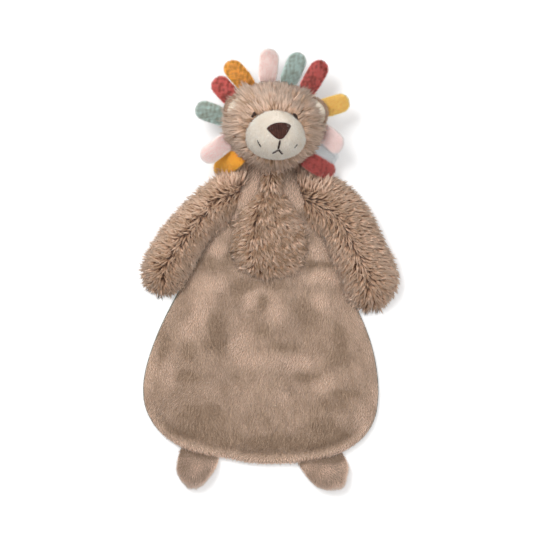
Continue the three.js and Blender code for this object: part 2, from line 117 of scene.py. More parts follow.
def linear(red, green, blue):
    """An sRGB colour of 0 to 255 as linear light, with alpha 1."""
    share = np.array([red, green, blue]) / 255
    bent = np.where(share <= 0.04045, share / 12.92, ((share + 0.055) / 1.055) ** 2.4)
    return (*[float(v) for v in bent], 1.0)


def new_material(name):
    """A material and its node tree, which is empty."""
    material = bpy.data.materials.new(name)
    material.use_nodes = True
    material.node_tree.nodes.clear()
    return material, material.node_tree


def add_node(tree, kind, *values, operation=None, **named):
    """A shader node. Its inputs are given in order, or by name with _ for a space, each as a value or
    as a socket to be linked."""
    node = tree.nodes.new(f"ShaderNode{kind}")
    if operation:
        node.operation = operation
    for key, value in (*enumerate(values), *named.items()):
        socket = node.inputs[key if isinstance(key, int) else key.replace("_", " ")]
        if isinstance(value, bpy.types.NodeSocket):
            tree.links.new(value, socket)
        else:
            socket.default_value = value
    return node


def add_ramp(tree, share, first, *rest):
    """The colour at a share of the way along a ramp, through stops of place and colour."""
    ramp = add_node(tree, "ValToRGB", share)
    start, end = ramp.color_ramp.elements
    start.position, start.color = first
    end.position, end.color = rest[-1]
    for place, colour in rest[:-1]:
        ramp.color_ramp.elements.new(place).color = colour
    return ramp.outputs["Color"]


floor_material, tree = new_material("floor_board")
board = add_node(tree, "BsdfDiffuse", Color=(FLOOR_COLOUR, FLOOR_COLOUR, FLOOR_COLOUR, 1))
seen = add_node(tree, "LightPath").outputs["Is Camera Ray"]
lift = add_node(tree, "Math", seen, FLOOR_LIFT, operation="MULTIPLY")
glow = add_node(tree, "Emission", Strength=lift.outputs[0])
both = add_node(tree, "AddShader", board.outputs[0], glow.outputs[0])
add_node(tree, "OutputMaterial", both.outputs[0])

floor_mesh = bpy.data.meshes.new("floor")
half = FLOOR_SIZE / 2
floor_corners = [(-half, -half, 0), (half, -half, 0), (half, half, 0), (-half, half, 0)]
floor_mesh.from_pydata(floor_corners, [], [(0, 1, 2, 3)])
floor_mesh.materials.append(floor_material)
floor = add_object("floor", floor_mesh)
floor.location.z = -FLOOR_GAP
floor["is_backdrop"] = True

world = bpy.data.worlds.new("surround")
world.use_nodes = True
world.node_tree.nodes["Background"].inputs["Color"].default_value = (1, 1, 1, 1)
world.node_tree.nodes["Background"].inputs["Strength"].default_value = SURROUND_LEVEL
bpy.context.scene.world = world

for name, place, size, power in LAMPS:
    lamp_data = bpy.data.lights.new(name, "AREA")
    lamp_data.shape = "SQUARE"
    lamp_data.size = size
    lamp_data.energy = power
    lamp = add_object(name, lamp_data)
    lamp.location = place
    x, y, z = place
    lamp.rotation_euler = (math.acos(z / math.hypot(x, y, z)), 0, math.atan2(-y, -x) - math.pi / 2)

# Blanket back panel: one pear-shaped piece of smooth grey-green velour, cut flat and sewn to the
# front panel all round. The toy lies on it, and its edge shows as a thin line beside the plush.
BACK_LOW, BACK_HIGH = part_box("blanket_back_panel")
BACK_THICKNESS = BACK_HIGH[2] - BACK_LOW[2]
BODY_HALF = (BACK_HIGH[0] - BACK_LOW[0]) / 2
HEM_Y = BACK_LOW[1]
BODY_LENGTH = BACK_HIGH[1] - BACK_LOW[1]
OUTLINE_SHARES = {
    "hem": [(0, 0), (0.545, 0), (1, 0.053), (1, 0.213)],
    "flank": [(1, 0.213), (1.023, 0.343), (0.705, 0.577), (0.432, 0.771)],
    "shoulder": (0.273, 0.948),
    "neck": (0.227, 1),
}


def along_bezier(corners, share):
    """Points of a cubic Bezier curve: the corners weighed by (1-t)^3, 3t(1-t)^2, 3t^2(1-t), t^3."""
    t = share[:, None]
    weights = np.stack([(1 - t) ** 3, 3 * t * (1 - t) ** 2, 3 * t**2 * (1 - t), t**3])
    return (weights * np.array(corners, float)[:, None, :]).sum(axis=0)


def between_rows(table, steps, at):
    """A table's rows read at places between them, each column in straight lines from row to row."""
    return np.stack([np.interp(at, steps, column) for column in table.T], axis=1)


def spaced(line, count):
    """count points at equal distances along a polyline."""
    steps = np.linalg.norm(np.diff(line, axis=0), axis=1)
    way = np.concatenate([[0], np.cumsum(steps)])
    return between_rows(line, way, np.linspace(0, way[-1], count))


def half_outline(count):
    """Half of the blanket's outline, from the middle of the hem round to the neck seam."""
    share = np.linspace(0, 1, 60)
    hem = along_bezier(OUTLINE_SHARES["hem"], share)
    flank = along_bezier(OUTLINE_SHARES["flank"], share)[1:]
    line = np.vstack([hem, flank, OUTLINE_SHARES["shoulder"], OUTLINE_SHARES["neck"]])
    return spaced(line * (BODY_HALF, BODY_LENGTH) + (0, HEM_Y), count)


# The limbs sewn into the blanket, and how far each one's cloth would bend on each side of its seam,
# inboard and outboard; only which limbs they are is read.
BENDS = {
    "left_arm": (8 * MM, 10 * MM), "right_arm": (8 * MM, 10 * MM),
    "left_foot": (8 * MM, 6 * MM), "right_foot": (8 * MM, 6 * MM),
}


def fasten(piece, body):
    """The piece rides on its body, unless it is a limb sewn into the blanket, which keeps its place in
    the world."""
    if body not in BENDS:
        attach(piece, body)
        return
    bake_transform(piece)


def ring_faces(rows, across):
    """Faces of a closed skin through rings, with the first and last ring closed from side to side."""
    k = np.arange(across)
    step = np.arange(rows - 1)[:, None] * across
    after = (k + 1) % across
    quads = np.stack([step + k, step + after, step + across + after, step + across + k], axis=-1)
    half_way = np.arange(across // 2 - 1)
    start = np.stack([half_way, across - 1 - half_way, across - 2 - half_way, half_way + 1], axis=-1)
    end = (rows - 1) * across + start[:, ::-1]
    return np.concatenate([quads.reshape(-1, 4), start, end]).tolist()


def add_rings(name, grid, material, body, node=None):
    """A closed skin through a grid of rings, as a piece of the toy that may stand for a CAD node."""
    rows, across, _ = grid.shape
    mesh = bpy.data.meshes.new(name)
    mesh.from_pydata(grid.reshape(-1, 3).tolist(), [], ring_faces(rows, across))
    mesh.materials.append(material)
    mesh.shade_smooth()
    mesh.validate()
    piece = add_object(name, mesh)
    fasten(piece, body)
    if node:
        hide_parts(node)
    return piece


def bell(distance, reach):
    """The weight exp(-(distance / reach)^2)."""
    return np.exp(-((distance / reach) ** 2))


def flat_rings(edge, low, high, steps, inset):
    """Rings of a flat piece whose outline is edge: over the top from left to right, then back below.

    low and high are heights, or give them at x and y. Across each ring the places are the half width
    times the sine of an even angle, which puts them closer together towards the edges.
    """
    across = np.sin(np.linspace(-math.pi / 2, math.pi / 2, steps))
    x = np.maximum(edge[:, :1] - inset, edge[:, :1] / 2) * across
    y = np.repeat(edge[:, 1:], steps, axis=1)
    over, under = (
        np.stack([x, y, side(x, y) if callable(side) else np.full_like(x, side)], axis=-1)
        for side in (high, low)
    )
    return np.concatenate([over, under[:, ::-1]], axis=1)


# Where the cut isn't quite even: side, place along the blanket, reach and shift, in millimetres.
UNEVEN = [(1, -48, 30, 2.4), (-1, -124, 20, 1.6), (-1, -45, 25, -0.4)]
# Where the hem is raised beside the left foot: place across, reach and rise, in millimetres. The
# rise is full at the hem and fades away from it.
HEM_RAISED, RAISED_FULL = (-24, 13, 1.7), -139 * MM


def uneven(grid, cut=UNEVEN):
    """A grid of the blanket with its sides shifted by the uneven cut, and the hem raised a little
    beside the left foot. A shift is a bell along the side, and fades as the square of the way in."""
    x, y = grid[..., 0], grid[..., 1]
    shift = 0 * x
    for side, place, reach, far in cut:
        side_share = np.clip(side * x / (0.7 * BODY_HALF), 0, 1) ** 2
        shift = shift + far * MM * side_share * bell(y / MM - place, reach)
    place, reach, rise = HEM_RAISED
    raised = rise * MM * bell(x / MM - place, reach) * np.clip(y / RAISED_FULL, 0, 1) ** 8
    return grid + np.stack([shift, raised, 0 * x], axis=-1)


def cloth_material(name, colour, shade, grain, bump, **finish):
    """Smooth cloth: it drifts softly between two sRGB colours, and a fine noise stands for its nap."""
    material, tree = new_material(name)
    place = add_node(tree, "TexCoord").outputs["Object"]
    broad = add_node(tree, "TexNoise", Vector=place, Scale=45, Detail=3).outputs["Fac"]
    fine = add_node(tree, "TexNoise", Vector=place, Scale=grain, Detail=4).outputs["Fac"]
    half = add_node(tree, "Math", broad, 0.5, operation="MULTIPLY").outputs[0]
    drift = add_node(tree, "Math", fine, 0.5, half, operation="MULTIPLY_ADD").outputs[0]
    raised = add_node(tree, "Bump", Strength=0.6, Distance=bump, Height=fine).outputs["Normal"]
    finish = {"Roughness": 0.85, "Sheen_Weight": 0.25, "Sheen_Roughness": 0.5, **finish}
    base = add_ramp(tree, drift, (0.35, linear(*shade)), (0.65, linear(*colour)))
    shader = add_node(tree, "BsdfPrincipled", Base_Color=base, Normal=raised, **finish)
    add_node(tree, "OutputMaterial", shader.outputs[0])
    return material


velour = cloth_material("grey_green_velour", (124, 127, 112), (84, 88, 74), 900, 0.3 * MM)
back_grid = uneven(flat_rings(half_outline(70)[1:], 0, BACK_THICKNESS, 25, 0))
back_panel = add_rings(
    "blanket_back_panel_velour", back_grid, velour, "blanket", "blanket_back_panel"
)
outline_points = half_outline(200)

# Blanket front panel: one pear of short-pile plush over a thin wadding, sewn to the back panel with
# the seam turned in. It lies in soft folds, and its pile is painted lighter and darker in patches, for
# the light it catches and the shade in its creases.
PLUSH_PILE, PLUSH_WIDTH = 3.4 * MM, 0.9 * MM
FRONT_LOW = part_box("blanket_front_panel")[0]
EDGE_TOP = FRONT_LOW[2] + BACK_THICKNESS
SWELL = 6 * MM
EDGE_RUN = 9 * MM
HEM_BEAD, HEM_BAND, HEM_GROOVE = 3 * MM, 7.5 * MM, 1.2 * MM
BEAD_REACH, GROOVE_REACH = 2.5 * MM, 3.2 * MM
FRONT_INSET = 1.3 * MM
FRONT_UNEVEN = (-1, -2, 38, 1)
# Where the hem's side of the blanket, and its darker lower part, start, and over what run.
HEM_FROM, HEM_RUN = -100 * MM, 30 * MM
LOW_FROM, LOW_RUN = -20 * MM, 50 * MM
# The pile is painted paler above this by the neck, against the head's shadow there, and is paler
# this far in along the edge. Past the hem's band is painted shade.
PAINTED_NECK_LIGHT_FROM = 45 * MM
RIM, RIM_REACH = 2.5 * MM, 3.5 * MM
SHADE, SHADE_REACH = HEM_BAND + 3 * MM, 5 * MM
# Slight ripples: height and reach in millimetres, and seed.
RIPPLES = [(0.5, 26, 3), (0.25, 11, 4)]
# Soft ridges and valleys: from, to, rise and breadth, in millimetres.
FOLDS = [
    ((-40, 28), (-21, 39), -2.2, 3), ((-34, 38), (-18, 45), 1.6, 4),
    ((-35, 26), (-12, -14), -2.2, 7), ((-55, -117), (-44, -25), 2.0, 11),
    ((-26, -122), (-18, -39), -2.2, 10), ((4, -108), (9, -30), 1.8, 12),
    ((30, -117), (26, -6), -2.4, 10), ((55, -108), (44, -6), 1.8, 10),
    ((31, 48), (30, 38), -2.4, 5), ((22, 72), (26, 50), 1.2, 3), ((17, 76), (19, 52), -1.2, 3),
    ((-41, 6), (-26, 9), -1.6, 4), ((32, 3), (46, 7), -1.8, 4), ((34, -6), (50, -4), 1.4, 5),
]
# Patches of painted light and shade on the pile, lighter where it catches the light and darker in
# creases and shadows: place and reach in millimetres, both across and along, and strength.
PAINTED_LIGHT_PATCHES = [
    (-48, -36, 7, 11, 0.5), (-58, -49, 5, 7, 0.3), (-36, -42, 7, 11, -0.4),
    (-35, -57, 10, 5, -0.35), (-75, -60, 4, 11, -0.3), (-55, -62, 6, 7, -0.3),
    (-23, -58, 5, 6, 0.3), (-16, -53, 6, 10, 0.25), (-1, -23, 4, 7, -0.45), (-11, -23, 5, 7, 0.3),
    (7, -30, 7, 7, 0.35), (-2, -45, 7, 6, -0.25), (40, -21, 7, 6, 0.3), (31, -28, 9, 11, -0.35),
    (14, -56, 11, 3, -0.35), (27, -67, 13, 5, 0.35), (-7, -68, 16, 6, 0.3), (56, -42, 5, 7, -0.35),
    (59, -58, 6, 10, -0.3), (-53, -82, 11, 4, -0.3), (-69, -82, 6, 9, 0.3), (48, -83, 7, 6, 0.35),
    (33, -78, 11, 3, -0.25), (62, -89, 12, 3, -0.3), (53, -98, 11, 5, -0.2),
    (-41, -110, 18, 7, -0.3), (-44, -123, 15, 5, -0.35), (16, -94, 7, 5, 0.2),
    (18, -127, 30, 4, -0.4), (51, -118, 15, 7, -0.3), (77, -104, 5, 10, 0.3), (-36, 14, 7, 5, 0.5),
    (-43, 3, 8, 5, -0.35), (-40, -12, 8, 5, 0.4), (-18, -13, 6, 5, -0.4), (0, -14, 7, 5, 0.3),
    (36, 16, 7, 6, 0.45), (39, 7, 11, 2, -0.4), (44, -3, 12, 5, 0.5), (21, -15, 8, 5, 0.1),
    (-11, 63, 5, 8, 0.35), (6, 70, 2, 8, -0.5), (17, 59, 5, 4, 0.25), (16, 75, 5, 3, -0.3),
    (28, 46, 7, 3, -0.5), (-27, 40, 7, 2, 0.4), (-30, 33, 8, 2, -0.4), (-15, 69, 3, 8, -0.2),
    (-29, 10, 4, 11, -0.3), (3, -11, 17, 4, -0.35), (32, 12, 4, 12, -0.3),
]
PAINTED_PATCH_STRENGTH = 2.2


def from_run(x, y, start, end):
    """Distance of points from a straight run."""
    start, way = np.array(start) * MM, (np.array(end) - start) * MM
    share = np.clip(((x - start[0]) * way[0] + (y - start[1]) * way[1]) / (way @ way), 0, 1)
    return np.hypot(x - start[0] - share * way[0], y - start[1] - share * way[1])


def inside_edge(x, y):
    """How far points of the blanket lie inside its outline, of which the neck seam isn't a part: the
    least distance from its straight runs."""
    least = np.full(np.shape(x), BODY_LENGTH)
    for (x0, y0), (x1, y1) in zip(outline_points[:-1:3], outline_points[3::3]):
        way = np.array([x1 - x0, y1 - y0])
        share = np.clip(((np.abs(x) - x0) * way[0] + (y - y0) * way[1]) / (way @ way), 0, 1)
        least = np.minimum(least, np.hypot(np.abs(x) - x0 - share * way[0], y - y0 - share * way[1]))
    return least


def ripple(points, reach, seed):
    """Smooth noise from -1 to 1: eight waves in random directions, about reach long, added up."""
    draw = np.random.default_rng(seed)
    ways = draw.normal(size=(8, points.shape[-1]))
    turns = draw.uniform(0.6, 1.5, (8, 1)) * 2 * math.pi / reach
    ways *= turns / np.linalg.norm(ways, axis=1, keepdims=True)
    phases = draw.uniform(0, 2 * math.pi, 8)
    return np.sin(points @ ways.T + phases).sum(axis=-1) / 4


def hem_side(y):
    """From 0 to 1 as a point nears the hem."""
    return np.clip((HEM_FROM - y) / HEM_RUN, 0, 1)


def blanket_top(x, y):
    """Height of the front panel: it swells from its sewn edge as 1 - exp(-distance / run), with the
    folds as bell-shaped ridges, a bead and a groove along the hem's turned band, and slight ripples."""
    edge = inside_edge(x, y)
    full = 1 - np.exp(-edge / EDGE_RUN)
    rise = sum(h * MM * bell(from_run(x, y, a, b), w * MM) for a, b, h, w in FOLDS)
    deep = HEM_GROOVE * (0.2 + 0.8 * hem_side(y))
    groove = deep * (bell(edge - HEM_BEAD, BEAD_REACH) - bell(edge - HEM_BAND, GROOVE_REACH))
    flat = np.stack([x, y], axis=-1)
    wave = sum(height * MM * ripple(flat, reach * MM, seed) for height, reach, seed in RIPPLES)
    return EDGE_TOP + full * (SWELL + full * (rise + wave)) + groove


def front_rings():
    """Rings of the front panel, drawn in a little from the back panel's edge."""
    made = flat_rings(half_outline(120)[1:], FRONT_LOW[2], blanket_top, 71, FRONT_INSET)
    return uneven(made, UNEVEN + [FRONT_UNEVEN])


def normals_of(grid):
    """Outward unit normals of a grid of rings: the cross product of the ways round and along."""
    around = np.roll(grid, -1, axis=1) - np.roll(grid, 1, axis=1)
    along = np.gradient(grid, axis=0)
    normal = np.cross(around, along)
    return normal / np.maximum(np.linalg.norm(normal, axis=-1, keepdims=True), 1e-12)


def scatter(grid, count, seed):
    """Places spread evenly over a grid of rings: an even sequence of number pairs, steered by area.

    Returns points, normals and how far each lies along the rings, from 0 to 1.
    """
    rows, across, _ = grid.shape
    beside = np.roll(grid, -1, axis=1)
    diagonals = np.cross(beside[1:] - grid[:-1], grid[1:] - beside[:-1])
    areas = np.linalg.norm(diagonals, axis=-1) / 2
    draw = np.random.default_rng(seed)
    pairs = (np.arange(count)[:, None] * (0.7548776662, 0.5698402910) + draw.random(2)) % 1
    by_row = np.concatenate([[0], np.cumsum(areas.sum(axis=1))])
    row = np.interp(pairs[:, 0] * by_row[-1], by_row, np.arange(rows))
    i = np.minimum(row.astype(int), rows - 2)
    in_row = np.cumsum(areas, axis=1) / areas.sum(axis=1, keepdims=True)
    j = np.minimum((in_row[i] < pairs[:, 1:]).sum(axis=1), across - 1)
    before = np.where(j > 0, in_row[i, j - 1], 0)
    s = np.clip((pairs[:, 1] - before) / np.maximum(in_row[i, j] - before, 1e-12), 0, 1)[:, None]
    r = (row - i)[:, None]
    normal = normals_of(grid)

    def mixed(field):
        left = field[i, j] * (1 - r) + field[i + 1, j] * r
        right = field[i, (j + 1) % across] * (1 - r) + field[i + 1, (j + 1) % across] * r
        return left * (1 - s) + right * s

    normals = mixed(normal)
    normals /= np.maximum(np.linalg.norm(normals, axis=1, keepdims=True), 1e-12)
    return mixed(grid), normals, row / (rows - 1)


# The most triangles in one mesh of pile, how low its points lie on the table, and how deep a root sits.
HEAVIEST_PILE = 190000
PILE_REST = 0.3 * MM
SHORT_ROOT, LONG_ROOT = 0.2 * MM, 0.4 * MM


def unit(vectors):
    """Vectors drawn to length 1."""
    return vectors / np.maximum(np.linalg.norm(vectors, axis=-1, keepdims=True), 1e-12)


def strands(roots, starts, ends, lengths, widths, tones, rings):
    """Thin three-sided cones. A strand's middle line is root + length (t start + t^2 (end - start)/2),
    and it is width (0.55 + 1.1 t - 1.25 t^2) thick.

    Returns points, faces as corner lists for quads and triangles, and a map whose u is the strand's
    tone and whose v runs from root to tip.
    """
    count = len(roots)
    t = np.linspace(0, 1, rings + 1)[:-1]
    lengths, widths = lengths[:, None, None], widths[:, None, None]
    curve = t[None, :, None] * starts[:, None] + (t[None, :, None] ** 2) * (ends - starts)[:, None] / 2
    middle = roots[:, None] + lengths * curve
    tip = roots + lengths[:, 0] * (starts + (ends - starts) / 2)
    way = unit(starts[:, None] + t[None, :, None] * (ends - starts)[:, None])
    aside = unit(np.cross(way, np.array([0.31, 0.17, 0.93])))
    above = np.cross(way, aside)
    girth = widths * (0.55 + 1.1 * t - 1.25 * t**2)[None, :, None] / 2
    corners = [
        middle + girth * (math.cos(a) * aside + math.sin(a) * above)
        for a in (math.pi / 2, math.pi * 7 / 6, math.pi * 11 / 6)
    ]
    body = np.stack(corners, axis=2).reshape(count, rings * 3, 3)
    points = np.concatenate([body, tip[:, None]], axis=1)
    k = np.arange(3)
    after = (k + 1) % 3
    step = np.arange(rings - 1)[:, None] * 3
    quads = np.stack([step + k, step + after, step + 3 + after, step + 3 + k], axis=-1).reshape(-1, 4)
    last = (rings - 1) * 3
    tips = np.stack([last + k, last + after, np.full(3, rings * 3)], axis=-1)
    base = np.array([[2, 1, 0]])
    share = np.append(np.repeat(t, 3), 1)
    edge = np.append(np.tile([-0.5, 0, 0.5], rings), 0) * 0.02
    maps = np.stack([tones[:, None] + edge, np.broadcast_to(share, (count, len(share)))], axis=-1)
    return points, quads, np.concatenate([base, tips]), maps


def add_pile(name, made, material, body):
    """Puts strands into the scene, pressed flat where the table is, with their map named OFBake. Each
    mesh takes every so many of them, so that none is too heavy."""
    points, quads, triangles, maps = made
    points[..., 2] = np.maximum(points[..., 2], PILE_REST)
    per = points.shape[1]
    meshes = math.ceil(len(points) * (2 * len(quads) + len(triangles)) / HEAVIEST_PILE)
    for part in range(meshes):
        count = len(points[part::meshes])
        offset = (np.arange(count) * per)[:, None]
        corners = np.concatenate([offset + quads.ravel(), offset + triangles.ravel()], axis=1).ravel()
        sizes = np.tile(np.concatenate([np.full(len(quads), 4), np.full(len(triangles), 3)]), count)
        starts = np.concatenate([[0], np.cumsum(sizes)[:-1]])
        mesh = bpy.data.meshes.new(name)
        mesh.vertices.add(count * per)
        mesh.vertices.foreach_set("co", points[part::meshes].reshape(-1))
        mesh.loops.add(len(corners))
        mesh.loops.foreach_set("vertex_index", corners)
        mesh.polygons.add(len(sizes))
        mesh.polygons.foreach_set("loop_start", starts)
        mesh.polygons.foreach_set("loop_total", sizes)
        mesh.shade_smooth()
        layer = mesh.uv_layers.new(name="OFBake")
        on_map = maps[part::meshes].reshape(-1, 2)[corners]
        layer.data.foreach_set("uv", np.clip(on_map, 0.002, 0.998).ravel())
        mesh.update(calc_edges=True)
        mesh.materials.append(material)
        piece = add_object(name if meshes == 1 else f"{name}_{part + 1}", mesh)
        fasten(piece, body)


WARMTH, PALENESS = (1.08, 0.97, 0.85), (0.98, 1.01, 1.07)


def pile_material(name, root, middle, tip, sheen=0.15, swing=(0.63, 1.36), spots=(0.08, 0.45, 0.95)):
    """Pile: it runs through three sRGB colours along the map's v, from root to tip, and from dark and
    warm to light and pale by the tone in the map's u."""
    material, tree = new_material(name)
    where = add_node(tree, "UVMap")
    where.uv_map = "OFBake"
    split = add_node(tree, "SeparateXYZ", where.outputs["UV"])
    stops = [(spot, linear(*colour)) for spot, colour in zip(spots, (root, middle, tip))]
    shade = add_ramp(tree, split.outputs["Y"], *stops)
    dark, light = swing[0] * np.array(WARMTH), swing[1] * np.array(PALENESS)
    tone = add_node(tree, "VectorMath", split.outputs["X"], light - dark, dark, operation="MULTIPLY_ADD")
    base = add_node(tree, "VectorMath", shade, tone.outputs[0], operation="MULTIPLY")
    shader = add_node(
        tree, "BsdfPrincipled", Base_Color=base.outputs[0], Roughness=0.8, Specular_IOR_Level=0.2,
        Sheen_Weight=sheen, Sheen_Roughness=0.4,
    )
    add_node(tree, "OutputMaterial", shader.outputs[0])
    return material


def tangent(flow, normals):
    """A flow drawn down to the surface."""
    return unit(flow - (flow * normals).sum(axis=-1, keepdims=True) * normals)


def speckle(strength, seed, count):
    """How far each tuft's tone differs: random numbers about 0, drawn from a bell curve."""
    return np.random.default_rng(seed).normal(0, strength, count)


def short_pile(points, normals, flow, length, width, lift, tones, seed):
    """Short plush: one leaning cone to each place."""
    draw = np.random.default_rng(seed)
    count = len(points)
    down = tangent(flow + draw.normal(0, 0.22, (count, 3)), normals)
    starts = unit(down + lift * normals * draw.uniform(0.7, 1.5, (count, 1)))
    ends = unit(down + 0.3 * lift * normals)
    lengths = length * draw.uniform(0.75, 1.2, count)
    widths = width * draw.uniform(0.8, 1.25, count)
    return strands(points - SHORT_ROOT * normals, starts, ends, lengths, widths, tones, 1)


front_grid = front_rings()
plush_skin = cloth_material("plush_ground", (184, 158, 135), (160, 134, 111), 700, 0.4 * MM)
add_rings(
    "blanket_front_panel_plush", front_grid, plush_skin, "blanket",
    "blanket_front_panel",
)

TUFTS = 70000
places, normals, _ = scatter(front_grid, TUFTS, 11)
topside = normals[:, 2] > -0.2
places, normals = places[topside], normals[topside]
# The tone drifts in broad and small patches, and then follows the ones read off.
tone = 0.5 + 0.14 * ripple(places, 34 * MM, 21) + 0.12 * ripple(places, 13 * MM, 22)
# The patches paint light and shade into the pile's tone: sheen where it catches the light, shade in creases and
# shadows.
for x, y, across, along, strength in PAINTED_LIGHT_PATCHES:
    tone += PAINTED_PATCH_STRENGTH * strength * bell(places[:, :2] / MM - (x, y), (across, along)).prod(axis=1)
# Above the neck line the pile is painted paler, against the head's shadow on it.
tone = 0.5 + 0.5 * np.tanh(2.2 * (tone - 0.5)) + 0.4 * (places[:, 1] > PAINTED_NECK_LIGHT_FROM)
edge = inside_edge(places[:, 0], places[:, 1])
low_down = np.clip((LOW_FROM - places[:, 1]) / LOW_RUN, 0, 1)
tone -= 0.09 * low_down
near_hem = hem_side(places[:, 1])
tone += (0.25 * low_down + 0.3 * near_hem) * bell(edge - RIM, RIM_REACH)
tone -= 0.25 * near_hem * bell(edge - SHADE, SHADE_REACH)
tone += speckle(0.12, 23, len(tone))
brushed = 0.5 * ripple(places, 40 * MM, 24)[:, None] * (1, 0, 0) + (0, -1, 0)
plush = pile_material(
    "short_plush", (152, 113, 88), (217, 188, 165), (232, 209, 190), 0.15, (0.49, 1.5), (0, 0.25, 0.8)
)
made = short_pile(places, normals, brushed, PLUSH_PILE, PLUSH_WIDTH, 0.8, tone, 25)
add_pile("blanket_front_pile", made, plush, "blanket")

# Blanket wadding: a thin sheet of polyester fleece laid loose between the two panels. It stops short
# of the seam, which is turned in flat.
WADDING_INSET = 7 * MM
WADDING_UNDER, WADDING_OVER, WADDING_LEAST = 0.2 * MM, 1.6 * MM, 0.8 * MM

wadding = cloth_material("polyester_wadding", (240, 238, 232), (222, 220, 214), 400, 0.6 * MM)
wadding_grid = uneven(flat_rings(
    half_outline(60)[4:-2],
    FRONT_LOW[2] + WADDING_UNDER,
    lambda x, y: np.maximum(blanket_top(x, y) - WADDING_OVER, FRONT_LOW[2] + WADDING_LEAST),
    31,
    WADDING_INSET,
))
add_rings("blanket_wadding_fleece", wadding_grid, wadding, "blanket", "blanket_wadding")

# Chest tuft: a teardrop bib of long-pile plush let into the front panel under the chin, its edges
# covered by the pile. The pile parts along both sides and hangs down in locks between.
LONG_PILE = 10.5 * MM
HAIR, LOCK_TIP = 0.8 * MM, 0.25
FULLNESS = 1
TUFT_LOW, TUFT_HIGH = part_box("chest_tuft")
TUFT_HALF = (TUFT_HIGH[0] - TUFT_LOW[0]) / 2
TUFT_LENGTH = TUFT_HIGH[1] - TUFT_LOW[1]
TUFT_GAP, TUFT_RISE, TUFT_SWELL = 0.2 * MM, 1.2 * MM, 6 * MM
# Where the bib's pile parts on the left, as a share of its half width.
TUFT_PARTING = -0.42
TUFT_SHARES = [
    (0, 0.2), (0.03, 0.52), (0.08, 0.76), (0.16, 0.92), (0.28, 1), (0.4, 0.99),
    (0.52, 0.93), (0.63, 0.82), (0.73, 0.64), (0.82, 0.42), (0.91, 0.27), (1.03, 0.22), (1.25, 0.2),
]


def eased(rows, count):
    """Rows of numbers drawn out to count rows, along the smooth cubic curve through each column."""
    rows = np.array(rows, float)
    at = np.linspace(0, len(rows) - 1, count)
    i = np.minimum(at.astype(int), len(rows) - 2)
    t = (at - i)[:, None]
    before, start, end, after = (rows[np.clip(i + k, 0, len(rows) - 1)] for k in (-1, 0, 1, 2))
    bent = 2 * start + (end - before) * t + (2 * before - 5 * start + 4 * end - after) * t**2
    return (bent + (3 * start - before - 3 * end + after) * t**3) / 2


def locks(
    points, normals, flow, length, width, lift, tones, seed,
    hairs=4, stray=0.28, spread=0.75, rise=0.1, mottle=0.16,
):
    """Long pile: at each place a few strands start apart, and their tips draw together into a lock."""
    draw = np.random.default_rng(seed)
    count = len(points)
    down = tangent(flow + draw.normal(0, stray, (count, 3)), normals)
    aside = np.cross(normals, down)
    starts = unit(down + lift * draw.uniform(0.5, 1.4, (count, 1)) * normals)
    ends = unit(down + rise * normals + draw.normal(0, 0.1, (count, 3)))
    lengths = length * draw.uniform(0.7, 1.15, (count, 1))
    tip = points + lengths * (starts + ends) / 2
    tones = tones + draw.normal(0, mottle, count)
    made = []
    for k in range(hairs):
        turn = 2 * math.pi * k / hairs + draw.uniform(0, 2 * math.pi, (count, 1))
        shift = spread * MM * (np.cos(turn) * aside + np.sin(turn) * down)
        root = points + shift - LONG_ROOT * normals
        own = lengths * draw.uniform(0.8, 1, (count, 1))
        end = 2 * (tip + LOCK_TIP * shift - (1 - own / lengths) * lengths * ends - root) / own - starts
        tone = tones + draw.normal(0, 0.08, count)
        widths = width * draw.uniform(0.75, 1.15, count)
        made.append(strands(root, starts, end, own[:, 0], widths, tone, 2))
    points, quads, triangles, maps = zip(*made)
    return np.concatenate(points), quads[0], triangles[0], np.concatenate(maps)


tuft_rows = eased(TUFT_SHARES, 34)
tuft_edge = tuft_rows[:, ::-1] * (TUFT_HALF, TUFT_LENGTH) + (0, TUFT_LOW[1])


def tuft_top(x, y):
    """The bib's back swells above the panel as a parabola from side to side."""
    along = (y - TUFT_LOW[1]) / TUFT_LENGTH
    half = np.interp(along, tuft_rows[:, 0], tuft_rows[:, 1]) * TUFT_HALF
    ends = np.minimum(1, np.sqrt(np.maximum(np.minimum(along, 1 - along / 2), 0) * 6) / 2 + 0.25)
    swell = TUFT_SWELL * ends * np.maximum(1 - (x / half) ** 2, 0)
    return blanket_top(x, y) + TUFT_RISE + swell


# Painted shade: the ground under the long pile and the strands' roots are dark, for the gaps between the locks.
ground = cloth_material("long_plush_ground", (150, 118, 94), (120, 90, 68), 600, 0.4 * MM)
long_plush = pile_material("long_plush", (92, 62, 45), (195, 158, 131), (236, 209, 184))
tuft_grid = flat_rings(tuft_edge, lambda x, y: blanket_top(x, y) + TUFT_GAP, tuft_top, 25, 0)
add_rings("chest_tuft_plush", tuft_grid, ground, "blanket", "chest_tuft")
places, normals, way = scatter(tuft_grid, int(3900 * FULLNESS), 31)
topside = normals[:, 2] > -0.1
places, normals, way = places[topside], normals[topside], way[topside]
across = places[:, 0] / np.interp(places[:, 1], tuft_edge[:, 1], tuft_edge[:, 0])
left_out = np.clip((TUFT_PARTING - across) / 0.2, 0, 1)
right_out = np.clip((across - 0.05) / 0.8, 0, 1)
flow = np.stack([
    0.35 - 1.25 * left_out + 1.1 * right_out + 0.35 * ripple(places, 20 * MM, 32),
    -1 + 0.35 * left_out + 0.35 * right_out,
    0 * across,
], axis=1)
